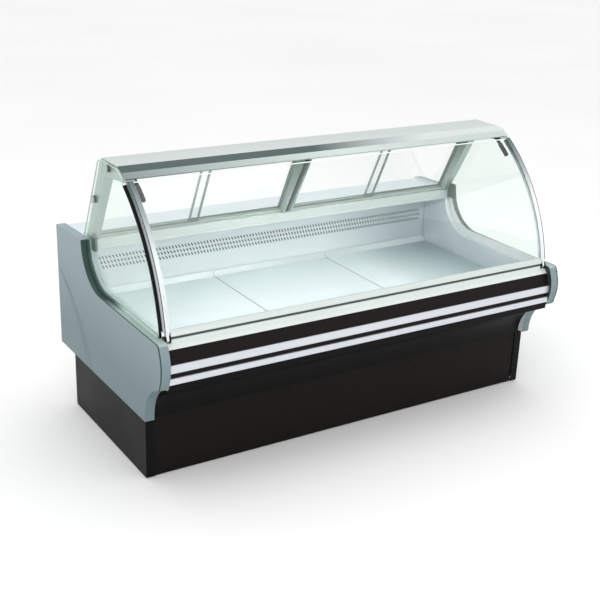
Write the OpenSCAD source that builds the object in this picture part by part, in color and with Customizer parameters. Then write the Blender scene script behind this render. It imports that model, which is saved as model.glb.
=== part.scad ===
// Refrigerated deli case with a tilting curved front glass, four rear sliding doors and a
// glass sided canopy. Units are millimetres. X runs along the case, -Y is the customer's side,
// +Z is up, and the origin is the middle of the footprint on the floor.

/* [Overall] */
// Width across the outsides of the two end panels
case_width = 2000; // [1700:50:2400]
// Thickness of one moulded end panel
panel_thick = 42; // [38:1:46]
// Height of the flat canopy top above the floor
canopy_height = 1207; // [1205:1:1209]

/* [Base] */
// How far each plinth side stands in from the end panel's outside
plinth_inset = 16; // [10:1:24]
// Front face of the plinth
plinth_front = -347; // [-350:1:-347]
// Rear face of the plinth
plinth_rear = 403; // [402:1:430]
// Height of the plinth, where the tub stands on it
plinth_height = 262; // [262:1:264]
// Side of the square tube of the base frame
tube_size = 36; // [30:1:38]
// Gap under the plinth sheets
floor_gap = 4; // [3:1:10]
// Radius of a levelling foot's pad
foot_radius = 17; // [14:1:17]

/* [End panels] */
// Height of the level sill under the side glass
sill_height = 640; // [640:1:642]
// Height of the end panel's top above the hollow curve
panel_top = 830; // [828:1:834]
// How far the top of the end panel falls towards the rear
panel_fall = 12; // [6:1:14]
// Radius of the hollow curve between the sill and the rear top
sweep_radius = 190; // [188:1:192]
// Rear edge of the end panel
panel_rear = 527; // [526:1:534]

/* [Tub] */
// Thickness of the foamed cheek inside each end panel
cheek_thick = 28; // [24:1:32]
// Thickness of the stainless lining
liner_thick = 1.5; // [1:0.5:2]
// Height of the tub's floor
floor_height = 312; // [310:1:316]
// Height of the deck's upper face
deck_height = 518; // [516:1:522]
// Gap between neighbouring deck pans
pan_gap = 2; // [1.5:0.5:4]

/* [Front glass] */
// Outer radius of the bent front glass
glass_radius = 792; // [791:1:793]
// Thickness of the bent front glass
glass_thick = 6; // [5:1:8]
// Width of the bright end frame of the front glass
frame_width = 24; // [22:1:30]
// Depth of the end frame, from the outside of the glass inwards
frame_depth = 20; // [16:1:20]
// Radius of the hinge pin at the foot of the end frame
pin_radius = 4; // [3:0.5:5]
// Running gap around the hinge pin and the fan shafts
running_gap = 0.05; // [0.03:0.01:0.09]
// Room left on each side of a pane in its slot
pane_play = 0.15; // [0.12:0.01:0.3]

/* [Rear doors] */
// Lean of the rear doors and posts from upright
door_lean = 25.6; // [25.2:0.2:26]
// Thickness of a door's edge profile
door_thick = 8; // [7:0.5:9]
// Overlap of the two doors of one bay
door_overlap = 41; // [30:1:50]
// Width of the upright edge profile of a door
edge_width = 8; // [8:1:12]

/* [Vents] */
// Slots in one row of the rear air panel
vent_count = 56; // [20:1:70]
// Rows of slots in the rear air panel
vent_rows = 3; // [1:1:3]

/* [Hidden] */
$fn = 48;

half = case_width / 2;
panel_in = half - panel_thick;
plinth_x = half - plinth_inset;
well_x = panel_in - cheek_thick;
frame_tube_x = plinth_x - 40;
sheet = 2;
frame_low = 26;
tube_wall = 2.5;
tray_top = frame_low + tube_size + sheet;

// Curved front glass: centre of its circle and the angles of its top and foot
glass_c = [308, 526.4];
glass_top_a = 125.8;
glass_foot_a = 170.85;
frame_out = panel_in - 3;
frame_in = frame_out - frame_width;
pivot = [-464, 642];

// Rear doors: foot of the door plane, and distances along and across it
door_foot = [266, 832];
track_half = 16;
track_len = 380;
rear_lip = 238;
sill_rear = 292;
sill_top = 822;
sill_low = 780;
worktop_top = 812;
post_x = frame_out - 40;
mid_half = 24;
air_panel_y = 388;
tub_rear = 500;
inner_rear = 455;
band_rear = -494;
band_top = [-480, 606];
rail_rear = -440;
rail_low = band_top[1];
rail_top = 626;
deck_front = -225;
pan_rear = air_panel_y - 3;
fan_x = 300;
fan_z = 400;
condenser_mid = [330, 156];
riser = [760, 50];
drain = [-300, 200];
coil_reach = 700;
evaporator_low = floor_height + liner_thick + 8;
control_x = [560, 820];
rocker_x = [600, 640];
rocker_y = 509;
rocker_z = 685;
rocker_r = 11;

// A ring of points from angle a0 to a1 on a circle of radius r about c
function arc(c, r, a0, a1, n = 12) =
    [for (i = [0:n]) let (a = a0 + (a1 - a0) * i / n) c + r * [cos(a), sin(a)]];

// A point d inside the outer face of the bent glass, at angle a
function on_glass(a, d) = glass_c + (glass_radius - d) * [cos(a), sin(a)];

// A point s up the door plane and n behind it
function on_door(s, n) =
    door_foot + s * [-sin(door_lean), cos(door_lean)] + n * [cos(door_lean), sin(door_lean)];

// Side view outlines, as [y, z], drawn out along X from x0 to x1
module along_x(x0, x1) {
    translate([x0, 0, 0])
        rotate([90, 0, 90])
            linear_extrude(x1 - x0)
                children();
}

// The same outline drawn at both ends of the case, from x0 to x1 out from the middle
module both_ends(x0, x1) {
    along_x(x0, x1) children();
    along_x(-x1, -x0) children();
}

// A block from corner a to corner b
module block(a, b) {
    translate(a) cube(b - a);
}

// A round bar along X, Y or Z
module bar_x(x0, x1, y, z, r) {
    translate([x0, y, z]) rotate([0, 90, 0]) cylinder(h = x1 - x0, r = r);
}

module bar_y(y0, y1, x, z, r) {
    translate([x, y0, z]) rotate([-90, 0, 0]) cylinder(h = y1 - y0, r = r);
}

module bar_z(z0, z1, x, y, r) {
    translate([x, y, z0]) cylinder(h = z1 - z0, r = r);
}

// A piece drawn again on the other side of the case
module mirrored() {
    children();
    mirror([1, 0, 0]) children();
}

// A curved band on the bent glass between two angles and two depths
module glass_band(a0, a1, d0, d1, n = 28) {
    polygon(concat(
        [for (i = [0:n]) on_glass(a0 + (a1 - a0) * i / n, d0)],
        [for (i = [n:-1:0]) on_glass(a0 + (a1 - a0) * i / n, d1)]));
}

// A rectangle on the door plane between two heights and two depths
module door_rect(s0, s1, n0, n1) {
    polygon([on_door(s0, n0), on_door(s1, n0), on_door(s1, n1), on_door(s0, n1)]);
}

// ---------------------------------------------------------------- base

// Square tubes of the base, drawn with g = 0 for the outsides and g = tube_wall for the
// hollows. Long rails run through, and uprights and cross tubes stand between them, each a
// weld's root gap away.
module frame_tubes(g) {
    t = tube_size;
    root = 0.4;
    y_front = plinth_front + 6;
    y_rear = plinth_rear - 2;
    for (y = [y_front, y_rear - t], z = [frame_low, plinth_height - t])
        block([-frame_tube_x + g, y + g, z + g],
            [frame_tube_x - g, y + t - g, z + t - g]);
    for (x = [-frame_tube_x, -t / 2, frame_tube_x - t]) {
        for (y = [y_front, y_rear - t])
            block([x + g, y + g, frame_low + t + root + g],
                [x + t - g, y + t - g, plinth_height - t - root - g]);
        for (z = [frame_low, plinth_height - t])
            block([x + g, y_front + t + root + g, z + g],
                [x + t - g, y_rear - t - root - g, z + t - g]);
    }
}

module base_frame() {
    tray_root = 0.3;
    color("dimgray") {
        difference() {
            frame_tubes(0);
            frame_tubes(tube_wall);
        }
        block([-100, plinth_front + 30, tray_top - sheet + tray_root],
            [frame_tube_x - 30, plinth_rear - 30, tray_top]);
    }
}

module levelling_feet() {
    inset = tube_size / 2;
    color("black")
        for (x = [-frame_tube_x + inset, 0, frame_tube_x - inset],
             y = [plinth_front + 6 + inset, plinth_rear - 2 - inset]) {
            bar_z(0, 8, x, y, foot_radius);
            bar_z(8, frame_low, x, y, 6);
            translate([x, y, frame_low - 8]) cylinder(h = 8, r = 11, $fn = 6);
        }
}

module plinth_sides() {
    low = floor_gap;
    color([0.08, 0.08, 0.08])
        mirrored() {
            block([plinth_x - sheet, plinth_front, low], [plinth_x, plinth_rear, plinth_height]);
            block([frame_tube_x, plinth_front, low],
                [plinth_x - sheet, plinth_front + sheet, plinth_height]);
            block([frame_tube_x, plinth_rear - sheet, low],
                [plinth_x - sheet, plinth_rear, plinth_height]);
        }
}

module kick_plate() {
    color([0.13, 0.12, 0.11])
        block([-frame_tube_x, plinth_front + 4, floor_gap],
            [frame_tube_x, plinth_front + 6, plinth_height]);
}

// Removable rear sheet with two fields of louvre slots and the supply cable's gland
module rear_grille() {
    gland_x = -850;
    gland_z = 140;
    color([0.1, 0.1, 0.1])
        difference() {
            union() {
                block([-frame_tube_x, plinth_rear - sheet, floor_gap],
                    [frame_tube_x, plinth_rear, plinth_height]);
                bar_y(plinth_rear, plinth_rear + 16, gland_x, gland_z, 12);
                bar_y(plinth_rear, plinth_rear + 6, gland_x, gland_z, 15);
            }
            for (x = [180, 340, 540, 700], row = [0:9])
                block([x, plinth_rear - 10, 70 + row * 17], [x + 140, plinth_rear + 1, 78 + row * 17]);
            bar_y(plinth_rear - 10, plinth_rear + 20, gland_x, gland_z, 5);
        }
}

// ---------------------------------------------------------------- condensing unit

module compressor() {
    at = [640, 60];
    low = tray_top;
    color([0.06, 0.06, 0.07]) {
        for (x = [-80, 80], y = [-60, 60])
            bar_z(low, low + 12, at[0] + x, at[1] + y, 11);
        block([at[0] - 100, at[1] - 78, low + 12], [at[0] + 100, at[1] + 78, low + 15]);
        translate([at[0], at[1], low + 15])
            rotate_extrude()
                polygon(concat([[0, 0]], arc([50, 22], 22, -90, 0, 6),
                    arc([38, 106], 34, 0, 90, 8), [[0, 140]]));
        block([at[0] + 60, at[1] - 30, low + 50], [at[0] + 92, at[1] + 30, low + 110]);
    }
}

module condenser_coil() {
    x0 = condenser_mid[0] - 150;
    low = tray_top;
    fins = 30;
    color("silver") {
        for (i = [0:fins - 1])
            block([x0 + i * 10, 322, low], [x0 + i * 10 + 1.5, 360, low + 172]);
        for (row = [0:5], y = [332, 350])
            bar_x(x0 - 8, x0 + fins * 10, y, low + 16 + row * 28, 4);
    }
}

// A square plate with a round mouth, a ring, a motor on three arms and the motor's shaft.
// It is drawn about the fan's axis, with the air leaving towards +Y from y = 0.
module fan_carrier(half_x, low, high, mouth, motor_r, motor_len) {
    difference() {
        union() {
            block([-half_x, 0, low], [half_x, sheet, high]);
            bar_y(-14, 14, 0, 0, mouth + 4);
        }
        bar_y(-20, 20, 0, 0, mouth);
    }
    bar_y(14, 14 + motor_len, 0, 0, motor_r);
    bar_y(-8, 14, 0, 0, 4);
    for (a = [90, 210, 330])
        rotate([0, a, 0])
            block([motor_r - 3, 12, -4], [mouth + 2, 18, 4]);
}

// Hub with a bored boss and pitched blades, turning about Y inside a carrier's mouth
module fan_rotor(tip, blades) {
    difference() {
        union() {
            bar_y(-12, 12, 0, 0, 18);
            for (i = [0:blades - 1])
                rotate([0, i * 360 / blades, 0])
                    translate([14, 0, 0])
                        rotate([28, 0, 0])
                            block([0, -1, -16], [tip - 15, 1, 16]);
        }
        bar_y(-9, 13, 0, 0, 4 + running_gap);
    }
}

module condenser_shroud() {
    color([0.12, 0.12, 0.12])
        translate([condenser_mid[0], 302, condenser_mid[1]])
            mirror([0, 1, 0])
                fan_carrier(150, -92, 88, 78, 26, 40);
}

module condenser_fan() {
    color("gray")
        translate([condenser_mid[0], 302, condenser_mid[1]])
            mirror([0, 1, 0])
                fan_rotor(73, 5);
}

// Copper runs between the compressor, the condenser and the evaporator, with a receiver
module pipework() {
    low = tray_top;
    coil_x = condenser_mid[0] - 158;
    high = low + 170;
    r = 5;
    color([0.72, 0.42, 0.25]) {
        bar_z(low, low + 150, 480, -80, 32);
        bar_z(low + 150, high, 480, -80, r);
        bar_y(-80 - r, riser[1], 480, high, r);
        bar_x(480, riser[0] + r, riser[1], high, r);
        bar_z(low + 157, high, 600, riser[1], r);
        bar_x(coil_x - 20 - r, coil_x, 332, low + 16, r);
        bar_y(-80, 332, coil_x - 20, low + 16, r);
        bar_x(coil_x - 20 - r, 450, -80, low + 16, r);
        bar_z(high, evaporator_low + 18 + r, riser[0], riser[1], r);
        bar_x(coil_reach + 20, riser[0], riser[1], evaporator_low + 18, r);
    }
}

// ---------------------------------------------------------------- tub

// Rounded underside of the tub front, which the apron follows
function tub_front_curve() = arc([-527, plinth_height], 187, 80, 0, 10);

// Side outline of the cheeks: g raises the level part and the hollow sweep
function cheek_top(g) = concat(
    [[rail_rear, rail_low], [rail_rear, sill_height - 18 + g]],
    [for (p = arc([48, sill_height - 18 + sweep_radius], sweep_radius - g, -90, -12.8, 14)) p],
    [[rear_lip - 3, sill_low]]);

function tub_inside(g) = [[inner_rear - g, floor_height + g], [-300 + 0.56 * g, floor_height + g],
    [-355 + 0.71 * g, 400 + 0.71 * g], [rail_rear + g, 455 + 0.56 * g]];

module tub_insulation() {
    color([0.85, 0.85, 0.8])
        difference() {
            union() {
                along_x(-panel_in, panel_in)
                    difference() {
                        polygon(concat([band_top, [band_rear, 552], [band_rear, 470]], tub_front_curve(),
                            [[tub_rear, plinth_height], [tub_rear, sill_low],
                             [inner_rear - 60, sill_low], [inner_rear - 60, rail_low]]));
                        polygon(concat([[inner_rear, 900]], tub_inside(0), [[rail_rear, 900]]));
                    }
                both_ends(well_x, panel_in)
                    polygon(concat([[band_rear, 552], band_top], cheek_top(0),
                        [[tub_rear, sill_low], [tub_rear, plinth_height]],
                        arc([-527, plinth_height], 187, 0, 80, 10), [[band_rear, 470]]));
            }
            bar_z(plinth_height - 1, floor_height + 1, riser[0], riser[1], 8);
            bar_z(plinth_height - 1, floor_height + 1, drain[0], drain[1], 15.5);
            switch_recess();
        }
}

// Stainless lining: the folded trough with its drain spout, the two side sheets and their
// turned-over tops
module tub_liner() {
    g = liner_thick;
    color([0.78, 0.82, 0.84])
        difference() {
            union() {
                along_x(-well_x, well_x)
                    difference() {
                        polygon(concat([[inner_rear, sill_low]], tub_inside(0), [[rail_rear, rail_low],
                            [rail_rear + g, rail_low]]));
                        polygon(concat([[inner_rear - g, 900]], tub_inside(g), [[rail_rear + g, 900]]));
                    }
                bar_z(plinth_height - 60, floor_height + g / 2, drain[0], drain[1], 15);
                both_ends(well_x - g, well_x)
                    polygon(concat(cheek_top(g), [[inner_rear, sill_low]], tub_inside(0)));
                both_ends(well_x, panel_in)
                    difference() {
                        polygon(concat(cheek_top(g), [[tub_rear, sill_low - 50], [0, rail_low]]));
                        polygon(concat(cheek_top(0), [[tub_rear, sill_low], [tub_rear, sill_low - 60],
                            [0, rail_low - 10], [rail_rear, rail_low - 10]]));
                    }
            }
            bar_z(floor_height - 5, floor_height + 5, riser[0], riser[1], 8);
            bar_z(plinth_height - 70, floor_height + 5, drain[0], drain[1], 13);
        }
}

// Room behind the rocker keys, cut through the rear sheet into the foam
module switch_recess() {
    room = 14;
    block([rocker_x[0] - room, tub_rear - 10, rocker_z - room],
        [rocker_x[1] + room, tub_rear + sheet + 1, rocker_z + room]);
}

module back_panel() {
    color([0.75, 0.77, 0.78])
        difference() {
            block([-panel_in, tub_rear, plinth_height], [panel_in, tub_rear + sheet, sill_low]);
            switch_recess();
        }
}

// ---------------------------------------------------------------- front

module front_apron() {
    c = [-527, plinth_height];
    color([0.06, 0.055, 0.055])
        along_x(-panel_in, panel_in)
            polygon(concat(arc(c, 180, 0, 83, 14), [[-507, 473], [-504, 473]], arc(c, 183, 83, 0, 14)));
}

// Two aluminium strips, each with a slightly domed face
module bumper_rails() {
    color([0.85, 0.87, 0.88])
        along_x(-panel_in, panel_in)
            for (z = [[473, 498], [519, 552]])
                polygon([[-500, z[0]], [-500, z[1]], [-509, z[1]], [-512, z[1] - 3],
                    [-513, (z[0] + z[1]) / 2], [-512, z[0] + 3], [-509, z[0]]]);
}

// Black moulding that carries the strips and leans back to the top rail
module front_band() {
    color([0.07, 0.06, 0.06])
        along_x(-panel_in, panel_in)
            polygon([[band_rear, 473], [band_rear, 552], band_top, [-489, rail_low], [-507, 552],
                [-500, 552], [-500, 519], [-505, 519], [-505, 498], [-500, 498], [-500, 473]]);
}

// Top rail, with an upright lip under the foot of the front glass
module front_top_rail() {
    lip_x = frame_in - 2;
    lip = [-473, -467];
    lip_top = rail_top + 14;
    color([0.92, 0.94, 0.95]) {
        along_x(-panel_in, panel_in)
            polygon([[-489, rail_low], [-472, 624.5], [-468, rail_top], [rail_rear, rail_top],
                [rail_rear, rail_low]]);
        block([-lip_x, lip[0], rail_low + 10], [lip_x, lip[1], lip_top]);
    }
}

// ---------------------------------------------------------------- end panels

// Centre line of a shallow swoosh on the outside of an end panel, from t = 0 to 1
function swoosh(t, shift) =
    (1 - t) * (1 - t) * [panel_rear + 4, 641] + 2 * t * (1 - t) * [250, 520 - shift]
    + t * t * [150 + shift, plinth_height + 2];

module end_panel_outline() {
    polygon(concat(
        [[panel_rear, panel_top - panel_fall], [panel_rear, plinth_height + 3]],
        arc([-555, 285], 180, -6.4, 75, 14),
        arc([-362, 544], 165, 205.5, 154, 10),
        arc([-486, sill_height - 24], 24, 175, 90, 6),
        arc([48, sill_height + sweep_radius], sweep_radius, -90, 0, 20)));
}

module end_panel() {
    groove = 1.5;
    half_w = 2.5;
    steps = 18;
    difference() {
        along_x(panel_in, half) end_panel_outline();
        along_x(half - groove, half + 1)
            for (shift = [0, 26, 52])
                polygon(concat(
                    [for (i = [0:steps]) swoosh(i / steps, shift) + [0, half_w]],
                    [for (i = [steps:-1:0]) swoosh(i / steps, shift) - [0, half_w]]));
    }
}

module end_panel_left() {
    color([0.53, 0.61, 0.64]) mirror([1, 0, 0]) end_panel();
}

module end_panel_right() {
    color([0.53, 0.61, 0.64]) end_panel();
}

// ---------------------------------------------------------------- rear top

// Folded stainless worktop, open underneath
module worktop() {
    color([0.88, 0.89, 0.9])
        difference() {
            block([-panel_in, sill_rear, sill_low], [panel_in, panel_rear - 2, worktop_top]);
            block([sheet - panel_in, sill_rear + sheet, sill_low - 1],
                [panel_in - sheet, panel_rear - 2 - sheet, worktop_top - sheet]);
        }
}

// Hollow sill profile with a rounded front lip and the two-groove lower door track
module rear_sill() {
    wall = 3;
    color([0.9, 0.91, 0.92]) {
        along_x(-panel_in, panel_in)
            difference() {
                translate([rear_lip, sill_low]) square([sill_rear - rear_lip, sill_top - sill_low]);
                translate([rear_lip + wall, sill_low + wall])
                    square([sill_rear - rear_lip - 2 * wall, sill_top - sill_low - 2 * wall]);
            }
        bar_x(-well_x + 4, well_x - 4, rear_lip + 3, sill_low + 3, 6);
        mirrored()
            along_x(mid_half, post_x)
                difference() {
                    union() {
                        door_rect(-3, 10, -track_half, track_half);
                        polygon([[252, sill_top], on_door(-3, -track_half), on_door(-3, track_half),
                            [284, sill_top]]);
                    }
                    door_rect(0, 20, 1, track_half - 3);
                    door_rect(0, 20, 3 - track_half, -1);
                }
    }
}

module door_track_upper() {
    color([0.8, 0.83, 0.84])
        mirrored()
            along_x(mid_half, post_x)
                difference() {
                    door_rect(track_len - 20, track_len, -track_half, track_half);
                    door_rect(track_len - 40, track_len - 4, 1, track_half - 3);
                    door_rect(track_len - 40, track_len - 4, 3 - track_half, -1);
                }
}

// ---------------------------------------------------------------- posts

arm_low = [-7, canopy_height - 64];
post_front_top = [66, canopy_height - 72];
post_front_low = [240, sill_top];
post_rear_low = [286, sill_top];
canopy_front_in = [-67.2, canopy_height - 4];
canopy_rear_in = [[83, canopy_height - 4], [112.7, canopy_height - 19.2]];

module end_bracket_outline() {
    polygon([[-142, canopy_height - 50], arm_low, post_front_top, post_front_low, post_rear_low,
        canopy_rear_in[1], canopy_rear_in[0], canopy_front_in, [-68.4, canopy_height - 6.4],
        [-106.8, canopy_height - 21.6], [-138.2, canopy_height - 38.3]]);
}

module end_brackets() {
    color([0.72, 0.78, 0.76]) both_ends(post_x, frame_out) end_bracket_outline();
}

// Middle post with a broad channel down its front
module mid_post() {
    channel = 14;
    channel_half = 12;
    color([0.72, 0.78, 0.76])
        difference() {
            along_x(-mid_half, mid_half)
                polygon([[-20, canopy_height - 40], post_front_top, post_front_low, post_rear_low,
                    canopy_rear_in[1], canopy_rear_in[0], [-20, canopy_height - 4]]);
            along_x(-channel_half, channel_half)
                polygon([post_front_top + [-30, 0], post_front_top + [channel, 0],
                    post_front_low + [channel, 0], post_front_low - [30, 0]]);
        }
}

clamp_points = [[13, canopy_height - 26], [164, 1020]];
side_in = panel_in + 4;
side_out = side_in + 6;

// Round clamp buttons that hold the side glass off the brackets, and the blocks that clasp
// the sill at the foot of each bracket
module post_clamps() {
    block_x = [frame_out - 10, panel_in - 0.5];
    block_front = 190;
    play = 0.3;
    color([0.1, 0.11, 0.11])
        mirrored() {
            for (p = clamp_points) {
                bar_x(frame_out, side_in, p[0], p[1], 16);
                bar_x(side_in, side_out, p[0], p[1], 5.5);
                bar_x(side_out, side_out + 6, p[0], p[1], 16);
            }
            along_x(block_x[0], block_x[1])
                polygon([[block_front, sill_low + 6], [rear_lip - play, sill_low + 6],
                    [rear_lip - play, sill_top + play],
                    [post_front_low[0] - play, sill_top + play],
                    [220, sill_top + 35], [block_front, sill_top + 35]]);
        }
}

// ---------------------------------------------------------------- canopy

module canopy_top() {
    h = canopy_height;
    color([0.84, 0.85, 0.84])
        along_x(-frame_out, frame_out)
            polygon([[-66, h], [84, h], [115, h - 16], canopy_rear_in[1], canopy_rear_in[0],
                canopy_front_in]);
}

module canopy_fascia() {
    h = canopy_height;
    color([0.3, 0.38, 0.37])
        along_x(-frame_out, frame_out)
            polygon([[-66, h], canopy_front_in, [-68.4, h - 6.4], [-106.8, h - 20.5],
                [-109, h - 16]]);
}

module canopy_front_rail() {
    h = canopy_height;
    color([0.78, 0.84, 0.82])
        along_x(-frame_out, frame_out)
            polygon([[-109, h - 16], [-106.8, h - 20.5], [-106.8, h - 21.6], [-138.2, h - 38.3],
                [-141, h - 33]]);
}

lamp_x = [-653, 515];
lamp_y = -43;
lamp_half = 21;
lamp_z = canopy_height - 25;

module lamp_housing() {
    wall = 1.5;
    top = canopy_height - 4;
    low = canopy_height - 42;
    color([0.88, 0.9, 0.9])
        difference() {
            block([lamp_x[0], lamp_y - lamp_half, low], [lamp_x[1], lamp_y + lamp_half, top]);
            block([lamp_x[0] + 14, lamp_y - lamp_half + wall, low - 1],
                [lamp_x[1] - 14, lamp_y + lamp_half - wall, top - wall]);
        }
}

module lamp_tube() {
    color("white") bar_x(lamp_x[0] + 14, lamp_x[1] - 14, lamp_y, lamp_z, 13);
}

// ---------------------------------------------------------------- side glass

seat = 4;
side_d = 26;

// The side glass stands on its channel's seat, where its front edge meets that level
side_foot_a = 180 - asin((sill_height + seat - glass_c[1]) / (glass_radius - side_d));

module side_glass_outline() {
    steps = 24;
    polygon(concat(
        [for (i = [0:steps])
            on_glass(side_foot_a - (side_foot_a - 125.6) * i / steps, side_d)],
        [[-126, canopy_height - 31], [-84, canopy_height - 7], [90, canopy_height - 7],
         [108, canopy_height - 20], [282, panel_top + seat]],
        arc([48, sill_height + sweep_radius], sweep_radius - seat, 0, -90, 20)));
}

module side_glass() {
    difference() {
        along_x(side_in, side_out) side_glass_outline();
        for (p = clamp_points) bar_x(side_in - 1, side_out + 1, p[0], p[1], 6);
    }
}

module side_glass_left() {
    color([0.6, 0.75, 0.7, 0.5]) mirror([1, 0, 0]) side_glass();
}

module side_glass_right() {
    color([0.6, 0.75, 0.7, 0.5]) side_glass();
}

// Glazing channel along the sill and up the sweep
module side_channels() {
    rise = 12;
    c = [48, sill_height + sweep_radius];
    color([0.7, 0.74, 0.75])
        difference() {
            both_ends(panel_in, side_out + 8)
                polygon(concat([[-441, sill_height]], arc(c, sweep_radius, -90, 0, 20),
                    arc(c, sweep_radius - rise, 0, -90, 20), [[-441, sill_height + rise]]));
            both_ends(side_in, side_out)
                polygon(concat([[-500, sill_height + seat]], arc(c, sweep_radius - seat, -90, 0, 20),
                    [[c[0] + sweep_radius - seat, 900], [c[0], 900], [c[0], 700], [-500, 700]]));
        }
}

// Black seals inside the front edges of the side glass, behind the front glass frames, and
// the upright seal on the top rail behind the foot of the front glass
module glass_seals() {
    color([0.05, 0.05, 0.05]) {
        along_x(1 - frame_in, frame_in - 1)
            polygon([[pivot[0] + 2, rail_top], [pivot[0] + 20, rail_top], [pivot[0] + 20, rail_top + 16],
                [pivot[0] + 12, rail_top + 21], [pivot[0] + 2, rail_top + 21]]);
        both_ends(frame_in + slot_depth, side_in - pane_play) glass_band(125.6, 169.3, 20.6, 31);
        both_ends(panel_in + 0.5, side_in - pane_play) glass_band(169.3, 171.2, 20.6, 31, 2);
    }
}

// ---------------------------------------------------------------- front glass

slot_depth = 10;
glass_d = 3;
frame_foot_a = 169.6;

module front_glass() {
    x = frame_in + slot_depth;
    color([0.7, 0.85, 0.82, 0.4])
        along_x(-x, x) glass_band(glass_top_a + 0.1, frame_foot_a, glass_d, glass_d + glass_thick);
}

// Bright end frames, slotted for the glass, each with a hinge lug and pin at its foot
module glass_end_frames() {
    lug_in = frame_in + 7.5;
    lug_out = frame_out - 6;
    color([0.86, 0.88, 0.9])
        mirrored() {
            difference() {
                along_x(frame_in, frame_out) glass_band(glass_top_a, frame_foot_a, 0, frame_depth);
                along_x(frame_in - 1, frame_in + slot_depth)
                    glass_band(glass_top_a + 0.1, 172, glass_d - pane_play,
                        glass_d + glass_thick + pane_play);
            }
            along_x(lug_in, lug_out)
                polygon([on_glass(frame_foot_a, 1), pivot + [-11, 4], pivot + [11, 4],
                    on_glass(frame_foot_a, frame_depth - 1)]);
            bar_x(lug_in, lug_out, pivot[0], pivot[1], 12);
            bar_x(frame_in + 1.5, frame_out + 1, pivot[0], pivot[1], pin_radius);
        }
}

module glass_foot_profile() {
    color([0.82, 0.84, 0.86])
        along_x(-frame_in, frame_in)
            difference() {
                glass_band(169, glass_foot_a, -1, 14, 3);
                glass_band(168, frame_foot_a, glass_d - pane_play,
                    glass_d + glass_thick + pane_play, 3);
            }
}

// Dark hinge blocks on the top rail: two bored cheeks each side of the frame's lug
module hinge_blocks() {
    cheek_in = frame_in + 0.5;
    cheek_out = frame_out + 2;
    color([0.12, 0.12, 0.12])
        mirrored() {
            difference() {
                union() {
                    for (x = [[cheek_in, cheek_in + 6.5], [cheek_out - 7.5, cheek_out]])
                        along_x(x[0], x[1]) {
                            polygon([[pivot[0] - 6, rail_top], [pivot[0] - 12.5, pivot[1] - 3],
                                [pivot[0], pivot[1] + 6], [pivot[0] + 12, pivot[1] + 4],
                                [pivot[0] + 22, rail_top]]);
                            translate(pivot) circle(r = 13);
                        }
                    block([cheek_in, pivot[0], rail_top], [cheek_out, pivot[0] + 22, rail_top + 3]);
                }
                bar_x(cheek_in - 1, cheek_out + 1, pivot[0], pivot[1], pin_radius + running_gap);
            }
        }
}

// Rubber-faced stops on the brackets that the closed front glass leans towards
module top_catches() {
    color([0.08, 0.08, 0.08])
        both_ends(post_x - 14, post_x) {
            glass_band(121.4, 126.5, 24, 32, 4);
            glass_band(126.5, 131.6, 21, 36, 4);
        }
}

// ---------------------------------------------------------------- rear doors

bay_gap = 2;
bay_len = post_x - mid_half;
door_width = (bay_len - 2 * bay_gap + door_overlap) / 2;
door_mid = track_half / 2 - 1;
door_bottom = 0.5;
door_top = track_len - 8;
door_pane = 5;
rebate = 5;

// Left edges of the four doors, and which of the two tracks each one runs in
door_x = [-post_x + bay_gap, -mid_half - bay_gap - door_width, mid_half + bay_gap,
    post_x - bay_gap - door_width];
door_n = [-door_mid, door_mid, -door_mid, door_mid];

module door_glass(i) {
    grip = edge_width - rebate;
    color([0.85, 0.93, 0.92, 0.35])
        along_x(door_x[i] + grip, door_x[i] + door_width - grip)
            door_rect(door_bottom + 6, door_top, door_n[i] - door_pane / 2,
                door_n[i] + door_pane / 2);
}

// Upright edge profiles and the bottom runner, slotted for the pane
module door_frame(i) {
    x0 = door_x[i];
    x1 = x0 + door_width;
    n = door_n[i];
    h = door_thick / 2;
    runner_top = 12;
    grip = edge_width - rebate;
    color([0.7, 0.72, 0.72])
        difference() {
            union() {
                for (x = [[x0, x0 + edge_width], [x1 - edge_width, x1]])
                    along_x(x[0], x[1]) door_rect(door_bottom, door_top, n - h, n + h);
                along_x(x0 + edge_width, x1 - edge_width)
                    door_rect(door_bottom, runner_top, n - h, n + h);
            }
            along_x(x0 + grip, x1 - grip)
                door_rect(door_bottom + 6, door_top + 1, n - door_pane / 2, n + door_pane / 2);
        }
}

module door_glass_1() { door_glass(0); }
module door_glass_2() { door_glass(1); }
module door_glass_3() { door_glass(2); }
module door_glass_4() { door_glass(3); }
module door_frame_1() { door_frame(0); }
module door_frame_2() { door_frame(1); }
module door_frame_3() { door_frame(2); }
module door_frame_4() { door_frame(3); }

// ---------------------------------------------------------------- deck and air path

pan_x = well_x - liner_thick - pan_gap;
pan_width = (2 * pan_x - 2 * pan_gap) / 3;

// Folded pan: flat top, short turned-down edges and a raised strip along the rear
module deck_pan(i) {
    x0 = -pan_x + i * (pan_width + pan_gap);
    x1 = x0 + pan_width;
    edge = 6.5;
    color([0.8, 0.84, 0.86]) {
        difference() {
            block([x0, deck_front + 2, deck_height - edge], [x1, pan_rear, deck_height]);
            block([x0 + 2, deck_front + 4, deck_height - edge - 1],
                [x1 - 2, pan_rear - 2, deck_height - 1.5]);
        }
        along_x(x0, x1)
            polygon([[pan_rear - 22, deck_height], [pan_rear - 3, deck_height + 24],
                [pan_rear - 0.5, deck_height + 24], [pan_rear - 18, deck_height]]);
    }
}

module deck_pan_1() { deck_pan(0); }
module deck_pan_2() { deck_pan(1); }
module deck_pan_3() { deck_pan(2); }

module deck_supports() {
    top = deck_height - 7;
    floor_in = floor_height + liner_thick;
    seam = pan_width / 2 + pan_gap / 2;
    color("silver")
        for (x = [-pan_x + 18, -seam, seam, pan_x - 18]) {
            block([x - 15, deck_front + 5, top - 19], [x + 15, pan_rear, top]);
            for (y = [deck_front + 5, pan_rear - 20])
                block([x - 10, y, floor_in], [x + 10, y + 20, top - 19]);
        }
}

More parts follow.
